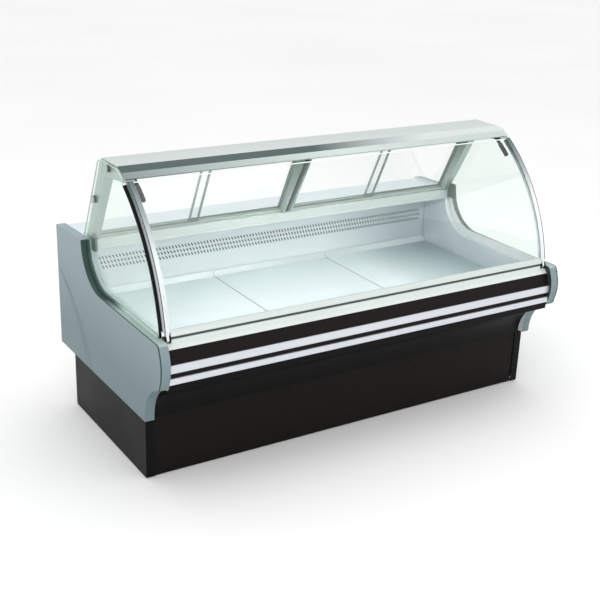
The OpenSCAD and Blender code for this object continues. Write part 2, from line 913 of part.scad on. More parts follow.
// Rear wall of the well with staggered rows of slanted slots
module back_air_panel() {
    span = 2 * pan_x - 60;
    pitch = span / vent_count;
    vent_low = 633;
    color([0.8, 0.84, 0.86])
        difference() {
            block([-pan_x, air_panel_y, floor_height + liner_thick + 60],
                [pan_x, air_panel_y + 1.5, sill_low]);
            for (row = [0:vent_rows - 1], i = [0:vent_count - 1])
                translate([-span / 2 + (i + 0.5 + (row % 2) * 0.5) * pitch, air_panel_y - 1,
                        vent_low + row * 22])
                    rotate([90, 0, 180])
                        linear_extrude(4)
                            polygon([[-7, 0], [3, 0], [9, 12], [-1, 12]]);
        }
}

return_low = [deck_front - 2, deck_height];
return_high = [rail_rear + 2, rail_low - 2];

// Sloping return-air grille between the deck's front edge and the top rail
module return_grille() {
    run = return_high - return_low;
    len = norm(run);
    lean = atan2(run[1], -run[0]);
    count = 20;
    pitch = 2 * (pan_x - 30) / count;
    color([0.8, 0.84, 0.86])
        difference() {
            along_x(-pan_x, pan_x)
                polygon([return_low + [0, -20], return_low + [1.5, -20], return_low + [1.5, 0.6],
                    return_high + [0.6, 1.4], return_high, return_low]);
            translate([0, return_low[0], return_low[1]])
                rotate([-lean, 0, 0])
                    for (i = [0:count - 1], row = [0:3])
                        block([-pan_x + 36 + i * pitch, -36 - row * 44, -6],
                            [-pan_x + 24 + (i + 1) * pitch, -24 - row * 44, 8]);
        }
}

module evaporator_coil() {
    low = evaporator_low;
    fins = 48;
    reach = coil_reach;
    color("silver") {
        for (i = [0:fins])
            block([-reach + i * 2 * reach / fins - 1, -110, low],
                [-reach + i * 2 * reach / fins + 1, 62, low + 150]);
        for (y = [-90, -40, 10, riser[1]], row = [0:3])
            bar_x(-reach - 20, reach + 20, y, low + 18 + row * 38, 5);
        for (x = [-reach, reach - 40])
            block([x, -100, low - 8], [x + 40, 50, low]);
    }
}

module evaporator_shroud() {
    low = floor_height + liner_thick;
    color([0.75, 0.77, 0.78]) {
        for (s = [-1, 1])
            translate([s * fan_x, -178, fan_z])
                fan_carrier(fan_x - 22, low - fan_z, 88, 78, 24, 30);
        for (x = [[-880, -2 * fan_x + 22], [-22, 22], [2 * fan_x - 22, 880]])
            block([x[0], -178, low], [x[1], -178 + sheet, fan_z + 88]);
    }
}

module evaporator_fan(s) {
    color([0.15, 0.15, 0.16]) translate([s * fan_x, -178, fan_z]) fan_rotor(73, 5);
}

module evaporator_fan_1() { evaporator_fan(-1); }
module evaporator_fan_2() { evaporator_fan(1); }

// ---------------------------------------------------------------- controls

control_face = 518;

module control_panel() {
    color([0.15, 0.15, 0.16])
        difference() {
            block([control_x[0], tub_rear + sheet, 640], [control_x[1], control_face, 730]);
            for (x = rocker_x)
                bar_x(x - 9, x + 9, rocker_y, rocker_z, rocker_r + 0.4);
            block([700, control_face - 2, 668], [780, control_face + 1, 704]);
            for (i = [0:3])
                bar_y(control_face - 1, control_face + 1, 708 + i * 21, 654, 6);
        }
}

// Rocker key with a shallow valley across its face
module rocker(i) {
    face = control_face + 1;
    difference() {
        bar_x(rocker_x[i] - 8.5, rocker_x[i] + 8.5, rocker_y, rocker_z, rocker_r);
        along_x(rocker_x[i] - 10, rocker_x[i] + 10)
            polygon([[face + 4, rocker_z + 12], [face, rocker_z + 7], [face - 2, rocker_z],
                [face, rocker_z - 7], [face + 4, rocker_z - 12]]);
    }
}

module rocker_main() { color([0.1, 0.45, 0.2]) rocker(0); }
module rocker_lamp() { color([0.1, 0.1, 0.1]) rocker(1); }

base_frame();
levelling_feet();
plinth_sides();
kick_plate();
rear_grille();
compressor();
condenser_coil();
condenser_shroud();
condenser_fan();
pipework();
tub_insulation();
tub_liner();
back_panel();
front_apron();
bumper_rails();
front_band();
front_top_rail();
end_panel_left();
end_panel_right();
worktop();
rear_sill();
door_track_upper();
end_brackets();
mid_post();
post_clamps();
canopy_top();
canopy_fascia();
canopy_front_rail();
lamp_housing();
lamp_tube();
side_glass_left();
side_glass_right();
side_channels();
glass_seals();
front_glass();
glass_end_frames();
glass_foot_profile();
hinge_blocks();
top_catches();
door_glass_1();
door_glass_2();
door_glass_3();
door_glass_4();
door_frame_1();
door_frame_2();
door_frame_3();
door_frame_4();
deck_pan_1();
deck_pan_2();
deck_pan_3();
deck_supports();
back_air_panel();
return_grille();
evaporator_coil();
evaporator_shroud();
evaporator_fan_1();
evaporator_fan_2();
control_panel();
rocker_main();
rocker_lamp();
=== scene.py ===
"""Looks of the refrigerated deli case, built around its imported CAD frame.

Outlines and places are in millimetres in the frame's own axes: X along the case, -Y the
customer's side, +Z up. Build turns them into metres.
"""

import math

import bmesh
import bpy
from mathutils import Matrix, Vector
from mathutils.geometry import tessellate_polygon


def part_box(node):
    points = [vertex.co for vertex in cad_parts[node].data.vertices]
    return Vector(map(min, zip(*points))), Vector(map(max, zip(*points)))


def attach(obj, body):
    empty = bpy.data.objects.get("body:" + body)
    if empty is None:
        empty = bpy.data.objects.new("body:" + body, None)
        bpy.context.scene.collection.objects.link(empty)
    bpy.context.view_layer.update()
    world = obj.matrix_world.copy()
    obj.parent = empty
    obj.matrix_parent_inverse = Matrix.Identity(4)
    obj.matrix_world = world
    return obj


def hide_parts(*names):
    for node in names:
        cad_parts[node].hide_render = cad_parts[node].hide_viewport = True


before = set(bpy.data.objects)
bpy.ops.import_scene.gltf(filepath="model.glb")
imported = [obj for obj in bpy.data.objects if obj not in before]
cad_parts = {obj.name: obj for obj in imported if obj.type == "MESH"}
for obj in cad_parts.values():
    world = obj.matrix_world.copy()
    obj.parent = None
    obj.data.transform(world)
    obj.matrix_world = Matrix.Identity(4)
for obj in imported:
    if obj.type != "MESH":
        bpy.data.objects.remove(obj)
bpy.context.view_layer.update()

MM = 0.001
BOXES = {name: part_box(name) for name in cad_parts}


def low(node, axis):
    """Lowest coordinate of a CAD node along X, Y or Z, in millimetres."""
    return BOXES[node][0]["XYZ".index(axis)] / MM


def high(node, axis):
    """Highest coordinate of a CAD node along X, Y or Z, in millimetres."""
    return BOXES[node][1]["XYZ".index(axis)] / MM


def span(node, axis):
    """Both ends of a CAD node along an axis, in millimetres."""
    return low(node, axis), high(node, axis)


# ------------------------------------------------------------------ shared dimensions

HALF = high("end_panel_right", "X")
PANEL_IN = low("end_panel_right", "X")
PANEL_REAR = high("end_panel_right", "Y")
PANEL_TOP = high("end_panel_right", "Z")
PLINTH_TOP = high("plinth_sides", "Z")
SILL = 640
SWEEP_C = (48, 830)
SWEEP_R = 190
NOSE = -440
PANEL_FALL = 12
WELL_X = PANEL_IN - 28
RAIL_TOP = 626
CANOPY_TOP = high("canopy_top", "Z")
FRAME_OUT = high("canopy_top", "X")
FRAME_IN = FRAME_OUT - 24
SIDE_IN, SIDE_OUT = PANEL_IN + 4, PANEL_IN + 10
POST_X = FRAME_OUT - 40
MID_HALF = high("mid_post", "X")

GLASS_C = (308, 526.4)
GLASS_R = 792
GLASS_TOP = 125.8
GLASS_FOOT = 169.6
PROFILE_FOOT = 170.85
PIVOT = (-464, 642)
SEAL_TOP = 125.6
SEAL_BEND = 169.3

DOOR_FOOT = (266, 832)
DOOR_LEAN = math.radians(25.6)
TRACK_HALF = 16
TRACK_LEN = 380
SILL_TOP = 822

DECK = high("deck_pan_1", "Z") - 24
SIDES = (1, -1)
SHARP = math.radians(35)


# ------------------------------------------------------------------ curves

def arc(centre, radius, start, end, count):
    """Points on a circle from one angle to another, in degrees."""
    turns = [math.radians(start + (end - start) * i / count) for i in range(count + 1)]
    return [(centre[0] + radius * math.cos(t), centre[1] + radius * math.sin(t)) for t in turns]


def on_glass(angle, depth):
    """The point at an angle on the bent glass, a depth inside its outer face."""
    t = math.radians(angle)
    reach = GLASS_R - depth
    return GLASS_C[0] + reach * math.cos(t), GLASS_C[1] + reach * math.sin(t)


def on_door(up, behind):
    """The point a distance up the leaning door plane and a distance behind it."""
    sin, cos = math.sin(DOOR_LEAN), math.cos(DOOR_LEAN)
    return DOOR_FOOT[0] - up * sin + behind * cos, DOOR_FOOT[1] + up * cos + behind * sin


def steps(start, end, count):
    """Evenly spaced values from start to end."""
    return [start + (end - start) * i / count for i in range(count + 1)]


def capsule(half_length, radius, slant=0.0, count=5):
    """An upright slot's outline with round ends, its top shifted sideways by twice slant."""
    top = arc((slant, half_length), radius, 0, 180, count)
    return top + arc((-slant, -half_length), radius, 180, 360, count)


def rounded(start, end, radius, edge, count=4):
    """Profile of a disc or rod, as (distance along it, radius), with rounded rims."""
    first = [(start + edge * (1 - math.sin(t)), radius - edge * (1 - math.cos(t)))
             for t in steps(math.pi / 2, 0, count)]
    last = [(end - edge * (1 - math.sin(t)), radius - edge * (1 - math.cos(t)))
            for t in steps(0, math.pi / 2, count)]
    return first + last


# ------------------------------------------------------------------ meshes

def along_x(y, z, x):
    return x, y, z


def mirrored_x(y, z, x):
    return -x, y, z


def side_place(side):
    return along_x if side > 0 else mirrored_x


class Build:
    """Closed shapes gathered in one mesh."""

    def __init__(self):
        self.bm = bmesh.new()

    def face(self, corners, material=0):
        made = self.bm.faces.new(corners)
        made.material_index = material
        made.smooth = True
        return made

    def loft(self, outline, place, along, material=0, loop=False):
        """The outline's copies at each step along a path, skinned and closed at both ends, or
        joined into a ring."""
        rings = [[self.bm.verts.new(Vector(place(u, v, w)) * MM) for u, v in outline]
                 for w in along]
        pairs = list(zip(rings, rings[1:]))
        if loop:
            pairs.append((rings[-1], rings[0]))
        for a, b in pairs:
            for i in range(len(outline)):
                j = (i + 1) % len(outline)
                self.face((a[i], a[j], b[j], b[i]), material)
        if not loop:
            self.face(rings[0][::-1], material)
            self.face(rings[-1], material)

    def prism(self, outline, x0, x1, material=0, side=1):
        """A side-view outline drawn out along X."""
        self.loft(outline, side_place(side), (x0, x1), material)

    def block(self, a, b, material=0):
        self.prism([(a[1], a[2]), (b[1], a[2]), (b[1], b[2]), (a[1], b[2])], a[0], b[0], material)

    def turned(self, centre, axis, profile, material=0, count=48, loop=False):
        """A shape turned about X, Y or Z from (distance along the axis, radius) points."""
        def place(u, v, w):
            across = [u * w[1], v * w[1]]
            across.insert("XYZ".index(axis), w[0])
            return [c + a for c, a in zip(centre, across)]
        circle = arc((0, 0), 1, 0, 360 * (count - 1) / count, count - 1)
        self.loft(circle, place, profile, material, loop)

    def glass_sweep(self, section, start, end, count, side=1):
        """A section of (x, depth) points carried round the bent glass."""
        def place(x, depth, angle):
            return (side * x, *on_glass(angle, depth))
        self.loft(section, place, steps(start, end, count))

    def door_sweep(self, section, start, end):
        """A section of (x, behind) points carried up the door plane."""
        def place(x, behind, up):
            return (x, *on_door(up, behind))
        self.loft(section, place, (start, end))

    def sheet(self, tiles, place, thick):
        """A sheet made of flat tiles that share whole edges, given a thickness."""
        index, points = {}, []
        faces = []
        for tile in tiles:
            row = []
            for u, v in tile:
                key = round(u, 3), round(v, 3)
                if key not in index:
                    index[key] = len(points)
                    points.append((u, v))
                row.append(index[key])
            faces.append(row)
        front = [self.bm.verts.new(Vector(place(u, v, 0)) * MM) for u, v in points]
        back = [self.bm.verts.new(Vector(place(u, v, thick)) * MM) for u, v in points]
        edges = {(row[i - 1], row[i]) for row in faces for i in range(len(row))}
        for row in faces:
            self.face([front[i] for i in row])
            self.face([back[i] for i in reversed(row)])
        for i, j in sorted(edges):
            if (j, i) not in edges:
                self.face((front[j], front[i], back[i], back[j]))

    def tray(self, a, b, wall, fold):
        """A folded sheet box that is open below, with rounded folds."""
        outer = [(a[0], a[1]), (b[0], a[1]), (b[0], b[1]), (a[0], b[1])]
        inner = [(a[0] + wall, a[1] + wall), (b[0] - wall, a[1] + wall),
                 (b[0] - wall, b[1] - wall), (a[0] + wall, b[1] - wall)]

        def ring(corners, z):
            return [self.bm.verts.new(Vector((x, y, z)) * MM) for x, y in corners]

        out_low, out_top = ring(outer, a[2]), ring(outer, b[2])
        in_low, in_top = ring(inner, a[2]), ring(inner, b[2] - wall)
        for i in range(4):
            j = (i + 1) % 4
            self.face((out_low[i], out_low[j], out_top[j], out_top[i]))
            self.face((in_low[j], in_low[i], in_top[i], in_top[j]))
            self.face((out_low[j], out_low[i], in_low[i], in_low[j]))
        self.face(out_top)
        self.face(in_top[::-1])
        folds = [e for e in self.bm.edges if any(v in out_top for v in e.verts)
                 and all(v in out_top + out_low for v in e.verts)]
        made = bmesh.ops.bevel(self.bm, geom=folds, offset=fold * MM, segments=4, profile=0.5,
                               affect="EDGES", clamp_overlap=True)
        for made_face in made["faces"]:
            made_face.smooth = True

    def screw(self, point, axis, toward, radius=4.2, material=0):
        """A pan head screw with a dished middle."""
        profile = [(0, radius), (toward * 1.0, radius), (toward * 2.2, radius * 0.8),
                   (toward * 2.6, radius * 0.45), (toward * 1.4, radius * 0.3)]
        self.turned(point, axis, profile, material, 20)

    def cut(self, tool):
        """Takes another build's shapes away from this one."""
        body, blade = self.scratch_object("cut_body"), tool.scratch_object("cut_blade")
        change = body.modifiers.new("cut", "BOOLEAN")
        change.operation, change.solver, change.object = "DIFFERENCE", "MANIFOLD", blade
        graph = bpy.context.evaluated_depsgraph_get()
        result = bpy.data.meshes.new_from_object(body.evaluated_get(graph))
        self.bm.clear()
        self.bm.from_mesh(result)
        for made_face in self.bm.faces:
            made_face.smooth = True
        for made in (body, blade):
            mesh = made.data
            bpy.data.objects.remove(made)
            bpy.data.meshes.remove(mesh)
        bpy.data.meshes.remove(result)

    def scratch_object(self, name):
        bmesh.ops.recalc_face_normals(self.bm, faces=self.bm.faces)
        mesh = bpy.data.meshes.new(name)
        self.bm.to_mesh(mesh)
        made = bpy.data.objects.new(name, mesh)
        bpy.context.scene.collection.objects.link(made)
        return made

    def piece(self, node, slot, *materials, bevel=0.0, body="case"):
        """The finished skin of a node, riding on its CAD body. It stands for the CAD node of
        its name, where there is one, and has the slot's own material if no other is named."""
        made = self.scratch_object(node + "_skin")
        for material in materials or (slot,):
            made.data.materials.append(M[material])
        if bevel:
            edge = made.modifiers.new("edges", "BEVEL")
            edge.width, edge.segments = bevel * MM, 3
            edge.limit_method, edge.angle_limit = "ANGLE", SHARP
            edge.harden_normals, edge.use_clamp_overlap = True, True
        else:
            made.data.set_sharp_from_angle(angle=SHARP)
        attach(made, body)
        if node in BOXES:
            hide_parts(node)
        return made


def paint(made, index, chosen):
    """Gives the faces of a piece that are chosen another of its materials."""
    for face in made.data.polygons:
        if chosen(face):
            face.material_index = index


def faces_inward(face, share):
    """Whether a face looks towards the middle of the case, by the X share of its normal."""
    return face.normal.x * face.center.x < -share * abs(face.center.x)


def slotted(u0, u1, v0, v1, first, pitch, columns, rows, hole, stagger=False):
    """Tiles of a rectangle with rows of holes. Every other row may be half a pitch along."""
    extra = 1 if stagger else 0
    us = [first[0] + k * pitch[0] / 2 for k in range(2 * columns + extra + 1)]
    vs = [first[1] + r * pitch[1] for r in range(rows + 1)]
    tiles = [[(u0, v0), (u1, v0), (u1, vs[0])] + [(u, vs[0]) for u in reversed(us)]
             + [(u0, vs[0])],
             [(u0, v1), (u0, vs[-1])] + [(u, vs[-1]) for u in us] + [(u1, vs[-1]), (u1, v1)]]
    for r in range(rows):
        a, b = vs[r], vs[r + 1]
        shift = r % 2 if stagger else 0
        plain = [(u0, us[0]), (us[-1], u1)]
        if stagger:
            plain.append((us[0], us[1]) if shift else (us[-2], us[-1]))
        tiles += [[(p, a), (q, a), (q, b), (p, b)] for p, q in plain]
        for i in range(columns):
            k = shift + 2 * i
            ring = [(us[k], a), (us[k + 1], a), (us[k + 2], a),
                    (us[k + 2], b), (us[k + 1], b), (us[k], b)]
            loop = [(us[k + 1] + u, (a + b) / 2 + v) for u, v in hole]
            points = ring + loop
            lines = [[Vector((u, v, 0)) for u, v in line] for line in (ring, loop)]
            for triangle in tessellate_polygon(lines):
                p, q, s = (points[c] for c in triangle)
                turn = (q[0] - p[0]) * (s[1] - p[1]) - (q[1] - p[1]) * (s[0] - p[0])
                tiles.append([p, q, s] if turn > 0 else [p, s, q])
    return tiles


# ------------------------------------------------------------------ materials

def rgb(red, green, blue):
    """A display colour, 0 to 255, as the linear colour that the shaders take."""
    def linear(value):
        value /= 255
        return value / 12.92 if value <= 0.04045 else ((value + 0.055) / 1.055) ** 2.4
    return linear(red), linear(green), linear(blue), 1.0


def even(scale):
    """A scale along X, Y and Z, from one number or from three."""
    return scale if isinstance(scale, tuple) else (scale, scale, scale)


def scaled(colour, factor):
    return tuple(min(1.0, c * factor) for c in colour[:3]) + (1.0,)


class Finish:
    """A material's node tree, with short calls for adding and linking nodes."""

    def __init__(self, name):
        self.material = bpy.data.materials.new(name)
        self.material.use_nodes = True
        self.tree = self.material.node_tree
        self.tree.nodes.clear()
        self.output = self.add("OutputMaterial")
        self.place = self.add("TexCoord").outputs["Object"]

    def add(self, kind, inputs=None, **settings):
        made = self.tree.nodes.new("ShaderNode" + kind)
        for key, value in settings.items():
            setattr(made, key, value)
        for key, value in (inputs or {}).items():
            if isinstance(value, bpy.types.NodeSocket):
                self.tree.links.new(value, made.inputs[key])
            else:
                made.inputs[key].default_value = value
        return made

    def noise(self, per_metre, detail=3.0):
        """Noise with its own frequency along X, Y and Z, in cells a metre."""
        spread = self.add("Mapping", {"Vector": self.place, "Scale": per_metre})
        return self.add("TexNoise", {"Vector": spread.outputs[0], "Scale": 1.0,
                                     "Detail": detail, "Roughness": 0.55}).outputs["Fac"]

    def between(self, value, start, end, to_low=0.0, to_high=1.0):
        return self.add("MapRange", {"Value": value, "From Min": start, "From Max": end,
                                     "To Min": to_low, "To Max": to_high}).outputs[0]

    def blend(self, factor, a, b):
        """Mixes two colours."""
        made = self.add("Mix", data_type="RGBA", blend_type="MIX")
        for key, value in ((0, factor), (6, a), (7, b)):
            if isinstance(value, bpy.types.NodeSocket):
                self.tree.links.new(value, made.inputs[key])
            else:
                made.inputs[key].default_value = value
        return made.outputs[2]

    def sum(self, a, b, weight):
        """a plus weight times b."""
        return self.add("Math", {0: b, 1: weight, 2: a}, operation="MULTIPLY_ADD").outputs[0]

    def rims(self, radius):
        """1 on edges and 0 on flats, from how far the rounded normal leaves the true one."""
        soft = self.add("Bevel", {"Radius": radius * MM}, samples=6).outputs[0]
        true = self.add("NewGeometry").outputs["Normal"]
        same = self.add("VectorMath", {0: soft, 1: true}, operation="DOT_PRODUCT").outputs["Value"]
        return self.between(same, 0.97, 0.80)

    def close(self, surface):
        self.tree.links.new(surface, self.output.inputs["Surface"])
        return self.material


def surface(name, tone, spread=0.12, rough=(0.35, 0.45), metallic=0.0, patch=3, grain=500,
            depth=0.02, wear=None, coat=0.0, specular=0.5, glow=0.0, fade=None):
    """A solid finish: a tone that wanders with broad patches and fine grain, a roughness that
    follows them, a bump from the grain, and a worn tone on edges. A fade names an axis, the
    two places along it in metres between which the tone changes, and the tone it ends in.
    Tones are display colours, 0 to 255."""
    f = Finish(name)
    tone = rgb(*tone)
    broad = f.noise(even(patch), 4.0)
    fine = f.noise(even(grain), 2.0)
    wander = f.between(f.sum(broad, fine, 0.45), 0.45, 1.0)
    colour = f.blend(wander, scaled(tone, 1 - spread), scaled(tone, 1 + spread))
    # Fades paint light and shade: they make a part lighter or darker along one axis.
    if fade:
        axis, start, end, last = fade
        last = rgb(*last)
        along = f.add("SeparateXYZ", {"Vector": f.place}).outputs[axis]
        ending = f.blend(wander, scaled(last, 1 - spread), scaled(last, 1 + spread))
        colour = f.blend(f.between(along, start, end), colour, ending)
    if wear:
        strength, worn = wear
        chips = f.add("Math", {0: f.rims(2.0), 1: f.between(fine, 0.35, 0.6, 0.0, strength)},
                      operation="MULTIPLY").outputs[0]
        colour = f.blend(chips, colour, rgb(*worn))
    bump = f.add("Bump", {"Height": fine, "Strength": 0.5, "Distance": depth * MM}).outputs[0]
    shader = f.add("BsdfPrincipled", {
        "Base Color": colour, "Metallic": metallic, "Normal": bump, "Coat Weight": coat,
        "Coat Roughness": 0.08, "Specular IOR Level": specular,
        "Emission Color": (1.0, 0.98, 0.94, 1), "Emission Strength": glow,
        "Roughness": f.between(f.sum(broad, fine, 0.6), 0.5, 1.1, *rough)})
    return f.close(shader.outputs[0])


def galvanised(name, tone):
    """Zinc coated steel with its crystal spangle."""
    f = Finish(name)
    spread = f.add("Mapping", {"Vector": f.place, "Scale": (70, 70, 70)}).outputs[0]
    cells = f.add("TexVoronoi", {"Vector": spread, "Scale": 1.0, "Randomness": 1.0})
    grey = f.add("RGBToBW", {0: cells.outputs["Color"]}).outputs[0]
    fine = f.noise((400, 400, 400))
    colour = f.blend(grey, scaled(tone, 0.72), scaled(tone, 1.15))
    bump = f.add("Bump", {"Height": fine, "Strength": 0.4, "Distance": 0.02 * MM}).outputs[0]
    shader = f.add("BsdfPrincipled", {"Base Color": colour, "Metallic": 0.9, "Normal": bump,
                                      "Roughness": f.between(grey, 0.2, 0.8, 0.32, 0.55)})
    return f.close(shader.outputs[0])


def foam_skin(name, tone):
    """Cut polyurethane foam: open cells under a matt, yellowed skin."""
    f = Finish(name)
    spread = f.add("Mapping", {"Vector": f.place, "Scale": (260, 260, 260)}).outputs[0]
    cells = f.add("TexVoronoi", {"Vector": spread, "Scale": 1.0}).outputs["Distance"]
    broad = f.noise((5, 5, 5))
    colour = f.blend(f.between(broad, 0.3, 0.7), scaled(tone, 0.85), tone)
    bump = f.add("Bump", {"Height": cells, "Strength": 0.6, "Distance": 0.5 * MM}).outputs[0]
    shader = f.add("BsdfPrincipled", {"Base Color": colour, "Normal": bump,
                                      "Roughness": f.between(cells, 0.0, 0.6, 0.7, 0.95)})
    return f.close(shader.outputs[0])


def pane(name, tint, film, haze, smear=(0.01, 0.05)):
    """Clear sheet glass: tinted light passes straight through, the rest is mirrored, and a
    thin uneven film of haze lies on it."""
    f = Finish(name)
    wipe = f.noise((2.5, 2.5, 9), 5.0)
    clear = f.add("BsdfTransparent", {"Color": tint}).outputs[0]
    dust = f.add("BsdfPrincipled", {"Base Color": film, "Roughness": 0.6}).outputs[0]
    body = f.add("MixShader", {0: f.between(wipe, 0.35, 0.75, haze * 0.4, haze),
                               1: clear, 2: dust}).outputs[0]
    mirror = f.add("BsdfGlossy", {"Color": (1, 1, 1, 1),
                                  "Roughness": f.between(wipe, 0.3, 0.8, *smear)}).outputs[0]
    facing = f.add("LayerWeight", {"Blend": 0.5}).outputs["Facing"]
    grazing = f.add("Math", {0: facing, 1: 5.0}, operation="POWER").outputs[0]
    share = f.between(grazing, 0.0, 1.0, 0.035, 0.9)
    return f.close(f.add("MixShader", {0: share, 1: body, 2: mirror}).outputs[0])


